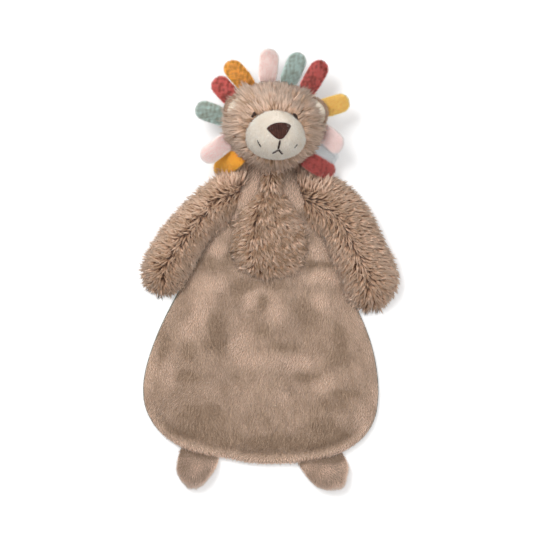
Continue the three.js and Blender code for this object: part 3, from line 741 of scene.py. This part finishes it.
# Painted shade: along the parting the locks are darker, as shade in the gap.
parting = bell(across - TUFT_PARTING, 0.1) * (way > 0.45)
tone = 0.36 + 0.36 * ripple(places, 11 * MM, 33) + 0.15 * (across > 0.5) - 0.35 * parting
reach = LONG_PILE * (0.88 - 0.15 * left_out[:, None])
made = locks(
    places, normals, flow, reach, HAIR, 1.05, tone, 34, hairs=5, stray=0.3, spread=0.9, mottle=0.3
)
add_pile("chest_tuft_pile", made, long_plush, "blanket")

# Arms: two long-pile plush sleeves, softly stuffed, sewn flat into the side seams. The pile parts
# along the middle of each sleeve and stands out all round the paw. It is fluffiest on the shoulder,
# where it falls over the lowest tabs of the mane.
SIDES = (("left", -1), ("right", 1))
SLEEVE_HALF = 9 * MM
LIMB_REST = 0.4 * MM
# Where each arm's pile parts, as a share of its half width, and how far it is brushed along the arm.
PARTINGS = {"left": (0.05, 0.4), "right": (-0.25, 0.8)}
# The shoulder's long pile: which way it is brushed, and how far from the arm's end it starts.
SHOULDER_WAY = (0.25, 1)
SHOULDER_START = 3.5 * MM
SHOULDER_PILE, SHOULDER_HAIR = 1.4 * LONG_PILE, 0.7 * MM
# Stations of each arm from its seam to the paw, in millimetres: outer edge, inner edge, thickness,
# with x outwards from the toy's middle.
ARM_STATIONS = {
    "left": [
        (15, 77.5, 31, 36.5, 6), (21, 75, 34, 35, 9), (26.5, 72, 37.5, 33, 11),
        (36.2, 66, 43, 30, 12), (51.5, 52.5, 45.5, 26, 13), (65.9, 37, 53.5, 12.5, 16),
        (79.7, 18, 60.5, -1.5, 17), (87.4, 1, 65.5, -10, 16), (88, -8.5, 67, -13.5, 13),
        (85, -14.5, 71.5, -17, 8.5), (81.5, -18, 76, -19, 4),
    ],
    "right": [
        (15, 77.5, 31, 36.5, 6), (21, 75.5, 34, 35.5, 9), (27, 74.5, 37.5, 33.5, 11),
        (41.5, 69.5, 42, 31, 12.5), (59, 59, 45, 27.5, 13.5), (72, 44, 49.8, 15.5, 16),
        (82.2, 25.2, 57, 3, 17), (91.6, 8, 62, -9, 16.5), (94, -4.5, 66.5, -16.5, 14.5),
        (90.5, -14, 71.5, -20.5, 10.5), (84.5, -20.5, 77, -23, 5),
    ],
}


def ring_turn(across):
    """Even angles round a ring, over the top from left to right, then back below."""
    return math.pi - (np.arange(across) + 0.5) * 2 * math.pi / across


def limb(stations, count, across):
    """Rings of a stuffed limb on the table: stations give its two edges and its thickness, in
    millimetres. A ring runs from edge to edge as the cosine of the turn, over the top first, and its
    height is the thickness times (1 + sine of the turn) / 2."""
    drawn = eased(stations, count) * MM
    turn = ring_turn(across)
    left, right, thick = drawn[:, None, 0:2], drawn[:, None, 2:4], drawn[:, None, 4]
    flat = (left + right) / 2 + (right - left) / 2 * np.cos(turn)[None, :, None]
    height = thick * (0.5 + 0.5 * np.sin(turn)) + LIMB_REST
    return np.concatenate([flat, height[..., None]], axis=-1)


def core(grid, share=0.72):
    """The stuffing's form: each ring drawn in towards its middle, short of both ends."""
    middle = grid.mean(axis=1, keepdims=True)
    return (middle + share * (grid - middle))[2:-2]


def turned(points, degrees, about):
    """Plan points turned about a point, by the cosine and sine of the angle."""
    c, s = math.cos(math.radians(degrees)), math.sin(math.radians(degrees))
    return (points - about) @ np.array([[c, s], [-s, c]]) + about


for side, mirror in SIDES:
    stations = np.array(ARM_STATIONS[side], float)
    if mirror < 0:
        stations = stations[:, [2, 3, 0, 1, 4]] * (-1, 1, -1, 1, 1)
    arm_grid = limb(stations, 48, 28)
    body = f"{side}_arm"
    add_rings(f"{body}_plush", arm_grid, ground, body, f"{body}_cover")
    add_rings(f"{body}_stuffing", core(arm_grid), wadding, body, f"{body}_filling")
    places, normals, way = scatter(arm_grid, int(4600 * FULLNESS), 41 + mirror)
    row = way * (len(arm_grid) - 1)
    middle_line = arm_grid.mean(axis=1)
    rows = np.arange(len(arm_grid))
    middle = between_rows(middle_line, rows, row)
    along = unit(between_rows(np.gradient(middle_line, axis=0), rows, row) * (1, 1, 0))
    outward = np.stack([-along[:, 1], along[:, 0], 0 * row], axis=1) * mirror
    across = ((places - middle) * outward).sum(axis=1) / SLEEVE_HALF
    # The pile leans away from its parting, and at the paw it runs out along the arm.
    part, down_arm = PARTINGS[side]
    leaning = np.clip((across - part) * 2.2, -1.2, 1.2)
    paw = np.clip((way - 0.72) / 0.2, 0, 1)
    flow = leaning[:, None] * outward + (down_arm + 0.9 * paw)[:, None] * along
    # Painted shade: the pile is darker near its parting, as shade in the gap. It is lighter towards both edges.
    tone = 0.42 + 0.15 * ripple(places, 18 * MM, 43) - 0.1 * bell(across - part, 0.5)
    tone += 0.22 * np.clip(np.abs(across - part) - 0.6, 0, 1)
    made = locks(places, normals, flow, LONG_PILE, HAIR, 0.8, tone, 45 + mirror, hairs=5)
    add_pile(f"{body}_pile", made, long_plush, body)
    places, normals, way = scatter(arm_grid, int(4200 * FULLNESS), 47)
    brushed = np.array([SHOULDER_WAY[0] * mirror, SHOULDER_WAY[1], 0])
    out_along = (places - arm_grid[0].mean(axis=0)) @ brushed
    shoulder = (way > 0.06) & (way < 0.3) & (normals[:, 2] > 0.2) & (out_along > SHOULDER_START)
    places, normals = places[shoulder], normals[shoulder]
    made = locks(
        places, normals, brushed, SHOULDER_PILE, SHOULDER_HAIR, 1.9, 0.85, 48,
        hairs=5, stray=0.3, spread=0.9, rise=0.3,
    )
    add_pile(f"{side}_shoulder_pile", made, long_plush, body)

# Feet: two small lobes of short-pile plush, softly stuffed, sewn into the hem and coming out from
# under it. The right one splays outwards.
# Stations of each foot from the hem to its end, in millimetres: right edge, left edge, thickness.
FEET = {
    "left": [
        (-29, -133, -55, -132, 0.8), (-29, -141, -57.5, -139, 3), (-30.5, -148.5, -58.8, -147.5, 8),
        (-33.6, -154, -58.5, -154, 11.5), (-37, -158.8, -55.8, -159.5, 12),
        (-40, -162.5, -52.6, -162.8, 9.5), (-44, -165.4, -50, -165.5, 4.5),
    ],
    "right": [
        (60.5, -130, 30, -135, 0.8), (65, -137.5, 30.5, -142, 3), (68, -144.5, 34.6, -148.2, 8),
        (67.2, -150, 39.7, -154, 11.5), (66.4, -155, 44.8, -158.6, 12),
        (65, -158.8, 50.2, -160.9, 9.5), (62.5, -160.8, 56, -161.7, 4.5),
    ],
}

for side, stations in FEET.items():
    out = unit(np.array(stations[-1][0:2]) + stations[-1][2:4] - stations[1][0:2] - stations[1][2:4])
    foot_grid = limb(stations, 26, 26)
    body = f"{side}_foot"
    add_rings(f"{body}_plush", foot_grid, plush_skin, body, f"{body}_cover")
    add_rings(f"{body}_stuffing", core(foot_grid), wadding, body, f"{body}_filling")
    places, normals, way = scatter(foot_grid, 5200, 51)
    # Painted shade: the pile is darker near the hem, as the hem's shadow. Painted highlight: it is lighter on
    # the sides, most on those facing right.
    tone = 0.42 + 0.25 * ripple(places, 14 * MM, 52) - 0.35 * np.clip((0.27 - way) / 0.06, 0, 1)
    tone += (0.7 + 1.3 * np.clip(normals[:, 0], 0, 1)) * (1 - np.abs(normals[:, 2]))
    tone += speckle(0.15, 54, len(tone))
    made = short_pile(places, normals, (*out, 0), PLUSH_PILE, PLUSH_WIDTH, 1.3, tone, 53)
    add_pile(f"{body}_pile", made, plush, body)

# Head: a round form of long-pile plush in two halves, front and back, joined in a rim seam and
# stuffed firmly. The face's pile runs outwards from the muzzle on every side, and a fringe of it falls
# over the inner half of each ear.
HEAD_LOW, HEAD_HIGH = (np.array(corner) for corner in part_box("head_front_cover"))
HEAD_MIDDLE = np.array([0, (HEAD_LOW[1] + HEAD_HIGH[1]) / 2, HEAD_LOW[2]])
HEAD_INSET = np.array([1.2, 1.8, 0]) * MM
HEAD_HALF = (HEAD_HIGH - HEAD_LOW) / (2, 2, 1) - HEAD_INSET
MUZZLE_MIDDLE = np.array([1.5, 101.6, 40]) * MM
EAR_WAY = (0.95, 0.31)
HEAD_FILLING_SHARE = 0.9
# Hairs' lengths and widths on the face, in the fringe, which is shorter on the right, and behind.
FACE_PILE, FACE_HAIR = 12.5 * MM, 0.72 * MM
FRINGE_LEFT, FRINGE_RIGHT, FRINGE_HAIR = 17 * MM, 15.2 * MM, 0.75 * MM
REAR_PILE, REAR_HAIR = 8.5 * MM, 1.0 * MM
# How much longer the beard's hairs are under the muzzle, and shorter the ones at the head's top.
BEARD = 4 * MM
# What the muzzle covers of the face, and the ring that the fringe grows in, in millimetres.
BARE_HALF, BARE_SHARE = (20.5, 17), 0.82
FRINGE_RING = (18, 26)


def dome(low, high, rows, across):
    """Rings of a unit ball between two heights in degrees, from the lower one up: x and y are the
    cosine of the height times the cosine and sine of the turn, and z is the sine of the height."""
    up = np.radians(np.linspace(low, high, rows))[:, None]
    turn = ((np.arange(across) + 0.5) * 2 * math.pi / across)[None, :]
    x, y = np.cos(up) * np.cos(turn), np.cos(up) * np.sin(turn)
    return np.stack([x, y, np.sin(up) + 0 * turn], axis=-1)


# Painted shade: the ground under the face's pile and its strands' roots are dark, for the gaps between the
# locks.
face_ground = cloth_material("face_ground", (165, 132, 106), (138, 106, 82), 600, 0.4 * MM)
face_plush = pile_material("face_plush", (96, 66, 48), (200, 166, 140), (242, 217, 195))
face_grid = HEAD_MIDDLE + HEAD_HALF * dome(1, 89, 30, 72)
rear_grid = HEAD_MIDDLE + HEAD_HALF * dome(-75, -1, 26, 72)
for half, half_grid in (("front", face_grid), ("back", rear_grid)):
    add_rings(
        f"head_{half}_plush", half_grid, face_ground, "head", f"head_{half}_cover",
    )
filling_grid = HEAD_MIDDLE + HEAD_FILLING_SHARE * HEAD_HALF * dome(-66, 88, 20, 40)
add_rings("head_stuffing", filling_grid, wadding, "head", "head_filling")

places, normals, _ = scatter(face_grid[:-1], int(3400 * FULLNESS), 61)
from_muzzle = (places - MUZZLE_MIDDLE) / MM
off_muzzle = np.linalg.norm(from_muzzle[:, :2] / BARE_HALF, axis=1) > BARE_SHARE
places, normals, from_muzzle = places[off_muzzle], normals[off_muzzle], from_muzzle[off_muzzle]
flank = 1 - normals[:, 2:]
upwards = np.clip(normals[:, 1:2], 0, 1)
# Painted highlight: the face's pile is lighter towards the top of the head, and so darker towards the chin.
tone = 0.42 + 0.14 * ripple(places, 15 * MM, 62) + 0.16 * from_muzzle[:, 1] / 30
flow = unit(from_muzzle * (1, 1, 0.6)) + (0, 0, -0.1)
beard = bell(from_muzzle[:, :1] - 2, 8) * (from_muzzle[:, 1:2] < -14)
reach = FACE_PILE + BEARD * (beard - upwards * flank)
lift = 0.45 + 0.3 * np.clip(np.abs(from_muzzle[:, :1]) / 20 - 0.4, 0, 1) + 1.1 * flank**2
made = locks(
    places, normals, flow, reach, FACE_HAIR, lift, tone, 63, hairs=6, stray=0.15, spread=1.1, mottle=0.3
)
add_pile("head_front_pile", made, face_plush, "head")
places, normals, _ = scatter(face_grid[:-1], int(5200 * FULLNESS), 68)
outwards = (places - HEAD_MIDDLE)[:, :2] / MM
from_middle = np.linalg.norm(outwards, axis=1)
towards_ear = np.abs(outwards[:, 0]) * EAR_WAY[0] + outwards[:, 1] * EAR_WAY[1]
in_ring = (from_middle > FRINGE_RING[0]) & (from_middle < FRINGE_RING[1])
fringe = in_ring & (towards_ear > 0.8 * from_middle)
places, normals, outwards = places[fringe], normals[fringe], outwards[fringe]
flow = np.concatenate([outwards, 0 * outwards[:, :1]], axis=1) / 30
reach = np.where(places[:, :1] > 0, FRINGE_RIGHT, FRINGE_LEFT)
made = locks(
    places, normals, unit(flow), reach, FRINGE_HAIR, 0.6, 0.5, 69,
    hairs=6, stray=0.12, spread=1.1, rise=0.45, mottle=0.25,
)
add_pile("head_fringe_pile", made, face_plush, "head")
places, normals, _ = scatter(rear_grid, int(3000 * FULLNESS), 65)
flow = 0.4 * unit(HEAD_MIDDLE - places) + (0, -0.9, -0.5)
tone = 0.45 + 0.14 * ripple(places, 15 * MM, 66)
made = locks(places, normals, flow, REAR_PILE, REAR_HAIR, 0.5, tone, 67, hairs=3)
add_pile("head_back_pile", made, face_plush, "head")

# Muzzle: an egg of cream short-pile plush, narrower at its top, stuffed and sewn over the face. Its
# pile is brushed away from the nose on every side.
MUZZLE_HALF = np.array([22, 18.5, 21.5]) * MM
EGG = 0.12
MUZZLE_PILE, MUZZLE_TUFT = 2.5 * MM, 0.75 * MM
MUZZLE_FILLING_SHARE = 0.86
# Where the pile is brushed away from, above the muzzle's middle.
BRUSHED_FROM = MUZZLE_MIDDLE + np.array([0, 6, 0]) * MM


def egg(grid):
    """A dome in units of the muzzle's size, drawn in sideways by a share of the way up."""
    narrowed = np.stack([grid[..., 0] * (1 - EGG * grid[..., 1]), grid[..., 1], grid[..., 2]], axis=-1)
    return MUZZLE_MIDDLE + MUZZLE_HALF * narrowed


def muzzle_top(x, y):
    """Height of the muzzle over points in plan: its middle's, plus its half height times the square
    root of 1 - up^2 - beside^2, both as shares of its half size."""
    up = (y - MUZZLE_MIDDLE[1]) / MUZZLE_HALF[1]
    beside = (x - MUZZLE_MIDDLE[0]) / (MUZZLE_HALF[0] * (1 - EGG * up))
    return MUZZLE_MIDDLE[2] + MUZZLE_HALF[2] * np.sqrt(np.maximum(1 - up**2 - beside**2, 0))


cream = cloth_material("cream_ground", (247, 237, 225), (234, 223, 210), 900, 0.2 * MM)
cream_plush = pile_material(
    "cream_plush", (224, 211, 193), (252, 243, 227), (255, 250, 238), 0.2, (0.8, 1.1), (0, 0.25, 0.8)
)
muzzle_grid = egg(dome(-8, 89, 30, 60))
add_rings("muzzle_plush", muzzle_grid, cream, "head", "muzzle_cover")
filling_grid = egg(MUZZLE_FILLING_SHARE * dome(12, 88, 16, 30))
add_rings("muzzle_stuffing", filling_grid, wadding, "head", "muzzle_filling")
places, normals, _ = scatter(muzzle_grid[:-1], 9000, 71)
flow = unit((places - BRUSHED_FROM) * (1, 1, 0.5)) + (0, -0.3, 0)
tone = 0.7 + 0.12 * ripple(places, 10 * MM, 72) + speckle(0.15, 74, len(places))
lift = 0.8 + 0.9 * (1 - normals[:, 2:])
made = short_pile(places, normals, flow, MUZZLE_PILE, MUZZLE_TUFT, lift, tone, 73)
add_pile("muzzle_pile", made, cream_plush, "head")

# Nose: a rounded triangle embroidered in brown satin stitch over the top of the muzzle. Its threads
# lie side by side and run down it.
NOSE_MIDDLE = np.array([4.1, 104.4]) * MM
NOSE_WIDTH = 18.5 * MM
NOSE_TILT = 10
# Rows of the nose from its point up: place along it and half width, as shares of its width.
NOSE_ROWS = [
    (-0.385, 0.05), (-0.34, 0.14), (-0.25, 0.24), (-0.12, 0.35), (0, 0.44),
    (0.09, 0.495), (0.15, 0.47), (0.21, 0.38), (0.26, 0.25), (0.29, 0.1),
]
THREAD, THREAD_RISE, STITCH_DEPTH = 1.7 * MM, 0.6 * MM, 0.5 * MM


def thread_material(name, colour, shade, grain):
    """Embroidery thread: dark and light strands by place, with a dull gloss."""
    finish = {"Roughness": 0.6, "Specular_IOR_Level": 0.2, "Sheen_Weight": 0.08}
    return cloth_material(name, colour, shade, grain, 0.15 * MM, **finish)


def embroidered(rows, middle, tilt, rise):
    """Rings of a patch of satin stitch on the muzzle. Ridges run up the patch, one to a thread, as
    |sin(pi x / thread)|."""
    drawn = eased(rows, 26) * NOSE_WIDTH
    across = np.sin(np.linspace(-math.pi / 2, math.pi / 2, 121))
    flat = np.stack([drawn[:, 1:] * across, np.repeat(drawn[:, :1], 121, axis=1)], axis=-1)
    inside = np.maximum(1 - across**2, 0)[None, :] * np.ones((26, 1))
    ridge = np.abs(np.sin(math.pi * flat[..., 0] / THREAD))
    placed = turned(flat.reshape(-1, 2), tilt, 0).reshape(flat.shape) + middle
    level = muzzle_top(placed[..., 0], placed[..., 1])
    plump = 1 + 0.5 * ripple(flat, 4 * MM, 75)
    over = level + rise * inside**0.35 + THREAD_RISE * ridge * plump
    under = level - STITCH_DEPTH
    top = np.concatenate([placed, over[..., None]], axis=-1)
    bottom = np.concatenate([placed, under[..., None]], axis=-1)[:, ::-1]
    return np.concatenate([top, bottom], axis=1)


nose_thread = thread_material("nose_thread", (80, 44, 34), (27, 8, 5), 420)
nose_grid = embroidered(NOSE_ROWS, NOSE_MIDDLE, NOSE_TILT, 1.1 * MM)
add_rings("nose_stitching", nose_grid, nose_thread, "head", "nose")

# Mouth and smile: single runs of thick dark thread, stitched through the muzzle. Each run is two
# plies twisted together.
dark_thread = thread_material("dark_thread", (66, 46, 38), (30, 20, 17), 1800)
MOUTH_MIDDLE = np.array([4.83, 104.4]) * MM
THREAD_LIES, THREAD_DIPS = 0.35 * MM, 0.9 * MM


def twisted(path, girth, turns):
    """Rings of two-ply thread along a plan path, lying on the muzzle and dipping in at both ends. Its
    radius swells as |cos|, at an angle that turns on along the thread, which makes two plies."""
    drawn = spaced(path, 40)
    share = np.linspace(-1, 1, 40)
    level = muzzle_top(drawn[:, 0], drawn[:, 1]) + THREAD_LIES - THREAD_DIPS * np.abs(share) ** 6
    line = np.concatenate([drawn, level[:, None]], axis=1)
    way = unit(np.gradient(line, axis=0))
    aside = unit(np.cross(way, (0, 0, 1)))
    above = np.cross(aside, way)
    turn = ring_turn(16)
    radius = girth / 2 * (0.78 + 0.22 * np.abs(np.cos(turn[None, :] - turns * math.pi * share[:, None])))
    radius = radius * (1 - 0.5 * np.abs(share[:, None]) ** 8)
    ring = np.cos(turn)[None, :, None] * aside[:, None] + np.sin(turn)[None, :, None] * above[:, None]
    return line[:, None] + radius[..., None] * ring


# Runs of thread: places in nose widths from the nose's middle, girth in millimetres, turns of the
# twist and CAD node.
MOUTH = {
    "mouth_line": ([(0.02, -0.42), (-0.05, -0.8)], 1.7, 5, "mouth_stitch"),
    "mouth_left": ([(-0.05, -0.8), (-0.08, -0.84), (-0.26, -0.95)], 1.7, 4, None),
    "mouth_right": ([(-0.05, -0.8), (0.04, -0.86), (0.14, -0.97)], 1.7, 4, None),
    "left_smile": ([(-0.9, -0.46), (-0.82, -0.62), (-0.72, -0.74)], 1.2, 5, "left_smile_stitch"),
    "right_smile": ([(0.72, -0.54), (0.6, -0.7)], 1.2, 4, "right_smile_stitch"),
}
for name, (run, girth, turns, node) in MOUTH.items():
    run_grid = twisted(np.array(run) * NOSE_WIDTH + MOUTH_MIDDLE, girth * MM, turns)
    add_rings(name, run_grid, dark_thread, "head", node)

# Eyes: two slanted ovals embroidered in dark thread on the face. They lie half sunk in its pile,
# beside the top of the muzzle.
EYE_HALF = np.array([1.5, 3, 1.6]) * MM
EYE_SHIFT = np.array([0, -0.5, 0.4]) * MM
EYE_LEAN = 35
for side, mirror in SIDES:
    low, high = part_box(f"{side}_eye")
    middle = (np.array(low) + high) / 2
    shape = dome(-88, 88, 16, 24) * EYE_HALF
    spun = turned(shape[..., :2].reshape(-1, 2), EYE_LEAN * mirror, 0).reshape(*shape.shape[:2], 2)
    eye_grid = np.concatenate([spun, shape[..., 2:]], axis=-1) + middle + EYE_SHIFT
    add_rings(f"{side}_eye_stitching", eye_grid, dark_thread, "head", f"{side}_eye")

# Ears: two round pads of brown plush, thinly stuffed, with a cream patch in front. Each is sewn to the
# side of the head by its inner edge.
brown_rim = cloth_material("ear_ground", (160, 128, 106), (132, 102, 82), 700, 0.4 * MM)
# Each ear's middle from the head's, its radius and its patch's, in millimetres.
EARS = {"left": ((-25, 7.6), 12.9, 9.6), "right": ((27.2, 8.8), 12.4, 10.2)}
EAR_THICKNESS, EAR_TILT = 5 * MM, 7
PATCH_SWELL, PATCH_LEVEL = 0.7 * MM, 1.9 * MM
EAR_PILE, EAR_TUFT = 2.4 * MM, 0.8 * MM
PATCH_PILE, PATCH_TUFT = 1.6 * MM, 0.7 * MM
for side, mirror in SIDES:
    ear, body = f"{side}_ear", f"{side}_ear_flap"
    flat, radius, patch_radius = (np.array(measure) * MM for measure in EARS[side])
    level = HEAD_HALF[2] * math.sqrt(1 - ((flat / HEAD_HALF[:2]) ** 2).sum())
    middle = HEAD_MIDDLE + (*flat, level)
    tilt = math.radians(EAR_TILT) * mirror
    c, s = math.cos(tilt), math.sin(tilt)
    lean = np.array([[c, 0, -s], [0, 1, 0], [s, 0, c]])
    pad_grid = (dome(-88, 88, 22, 40) * (radius, radius, EAR_THICKNESS / 2)) @ lean + middle
    add_rings(f"{ear}_plush", pad_grid, brown_rim, body, ear)
    patch_grid = (dome(-20, 88, 12, 36) * (patch_radius, patch_radius, PATCH_SWELL)) @ lean
    patch_grid = patch_grid + middle + (0, 0, PATCH_LEVEL)
    add_rings(f"{ear}_patch", patch_grid, cream, body, f"{ear}_inner")
    places, normals, way = scatter(pad_grid, 2600, 81)
    kept = way < 0.66
    flow = unit((places - middle) + (0, 0, 0.3 * MM))[kept]
    tone = 0.05 + 0.2 * ripple(places[kept], 8 * MM, 85)
    made = short_pile(places[kept], normals[kept], flow, EAR_PILE, EAR_TUFT, 0.6, tone, 82)
    add_pile(f"{ear}_pile", made, plush, body)
    places, normals, _ = scatter(patch_grid[:-1], 1800, 83)
    tone = 0.3 + 0.2 * ripple(places, 6 * MM, 86)
    flow = unit(places - middle)
    made = short_pile(places, normals, flow, PATCH_PILE, PATCH_TUFT, 0.6, tone, 84)
    add_pile(f"{ear}_patch_pile", made, cream_plush, body)

# Mane: twelve stubby tabs of short velvety plush, thinly padded, each sewn by its open end into the
# head's rim seam. Pink, sage, terracotta and mustard follow one another three times. Several of them
# are painted paler, and one darker, for the light and shade that fall on them.
# Painted light: the three named tabs are given paler colours, two of them to offset the shade they lie in.
TAB_COLOURS_AND_PAINTED_LIGHT = {
    "pink": (250, 221, 212), "sage": (178, 192, 182), "red": (196, 98, 90), "mustard": (232, 170, 78),
    "mane_tab_04_mustard": (255, 207, 118), "mane_tab_06_sage": (230, 230, 226),
    "mane_tab_08_mustard": (255, 182, 66),
}
TAB_HALF, TAB_THICKNESS = 5.9 * MM, 5.4 * MM
NAP_LENGTH, NAP_WIDTH = 2.9 * MM, 0.62 * MM
# How light each colour's nap lies, and how strongly it clumps, with the tabs that differ: these are
# painted lighter or darker for the light and shade on them.
TAB_NAP_AND_PAINTED_LIGHT = {
    "pink": (0.2, 0.08), "sage": (0.28, 0.4), "red": (0.25, 1.1), "mustard": (0, 0.45),
    "mane_tab_04_mustard": (0.35, 0.12), "mane_tab_05_pink": (0.8, 0.05), "mane_tab_06_sage": (0.4, 0.1),
    "mane_tab_07_red": (0.5, 0.8), "mane_tab_08_mustard": (1, 0.3), "mane_tab_09_pink": (0.4, 0.06),
    "mane_tab_10_sage": (0, 0.5),
}
# How far a tab's tip bends sideways and down, and how much its filling draws it in, in millimetres.
TAB_BENT = {
    "mane_tab_01_pink": (-0.8, 0, 1.6), "mane_tab_02_sage": (1.2, 0, 0), "mane_tab_03_red": (0.8, 0, 0),
    "mane_tab_04_mustard": (0, 0, 1), "mane_tab_05_pink": (3.4, 0, 0.6), "mane_tab_07_red": (0, 17, 0),
    "mane_tab_08_mustard": (0, 17, 0), "mane_tab_09_pink": (1.2, 0, 0), "mane_tab_11_red": (0, 0, 1),
    "mane_tab_12_mustard": (-2.2, -1, 0),
}
# Rows along a tab: share of its length, of its half width and of its half thickness.
TAB_ROWS = [
    (0, 0.85, 0.25), (0.05, 0.89, 0.35), (0.2, 0.97, 0.75), (0.42, 1, 1), (0.66, 1, 1),
    (0.79, 0.98, 0.97), (0.88, 0.88, 0.88), (0.95, 0.66, 0.68), (0.985, 0.4, 0.42), (1, 0.12, 0.14),
]
tab_skins = {}
for name, shade in TAB_COLOURS_AND_PAINTED_LIGHT.items():
    dark = tuple(0.82 * c for c in shade)
    pale = tuple(min(255, 1.07 * c + 4) for c in shade)
    tab_skins[name] = (
        cloth_material(f"{name}_ground", shade, dark, 900, 0.2 * MM),
        pile_material(f"{name}_velvet", dark, shade, pale, 0.3, (0.64, 1.36), (0, 0.3, 0.9)),
    )

# A tab points from its joint to the middle of the 24 farthest points of its solid.
for joint in frame["joints"]:
    tab = joint["child"]
    if not tab.startswith("mane_tab"):
        continue
    colour = tab.split("_")[-1]
    skin, velvet = tab_skins[tab if tab in tab_skins else colour]
    vertices = frame["nodes"][tab].data.vertices
    shell = np.empty((len(vertices), 3))
    vertices.foreach_get("co", shell.reshape(-1))
    root = np.array(joint["pos_m"], float)
    far = shell[np.argsort(-np.linalg.norm(shell - root, axis=1))[:24]].mean(axis=0)
    out = unit(far - root)
    reach = ((shell - root) @ out).max()
    aside = unit(np.cross(out, (0, 0, 1)))
    face = np.cross(aside, out)
    rows = eased(TAB_ROWS, 37)
    bent, sunk, drawn_in = np.array(TAB_BENT.get(tab, (0, 0, 0))) * MM
    turn = ring_turn(24)
    tab_grid = (
        root
        + rows[:, None, :1] * (reach - drawn_in) * out
        + rows[:, None, :1] ** 1.5 * (bent * aside - (0, 0, sunk))
        + rows[:, None, 1:2] * TAB_HALF * np.cos(turn)[None, :, None] * aside
        + rows[:, None, 2:] * TAB_THICKNESS / 2 * np.sin(turn)[None, :, None] * face
    )
    add_rings(f"{tab}_plush", tab_grid, skin, tab, tab)
    places, normals, _ = scatter(tab_grid, 4800, 91)
    # A tab's tone is painted lighter or darker by its own entry, for the light and shade on it.
    nap, clumps = TAB_NAP_AND_PAINTED_LIGHT.get(tab, TAB_NAP_AND_PAINTED_LIGHT[colour])
    tone = 0.5 + nap + 0.4 * clumps * ripple(places, 7 * MM, 92)
    tone += clumps * ripple(places, 3 * MM, 95) + speckle(0.17, 96, len(tone))
    flow = out + 0.35 * ripple(places, 12 * MM, 93)[:, None] * aside
    made = short_pile(places, normals, flow, NAP_LENGTH, NAP_WIDTH, 2.6, tone, 94)
    add_pile(f"{tab}_pile", made, velvet, tab)

size = {"cad": [list(map(float, c)) for c in cad_box], "visual": [list(map(float, c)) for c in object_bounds()]}
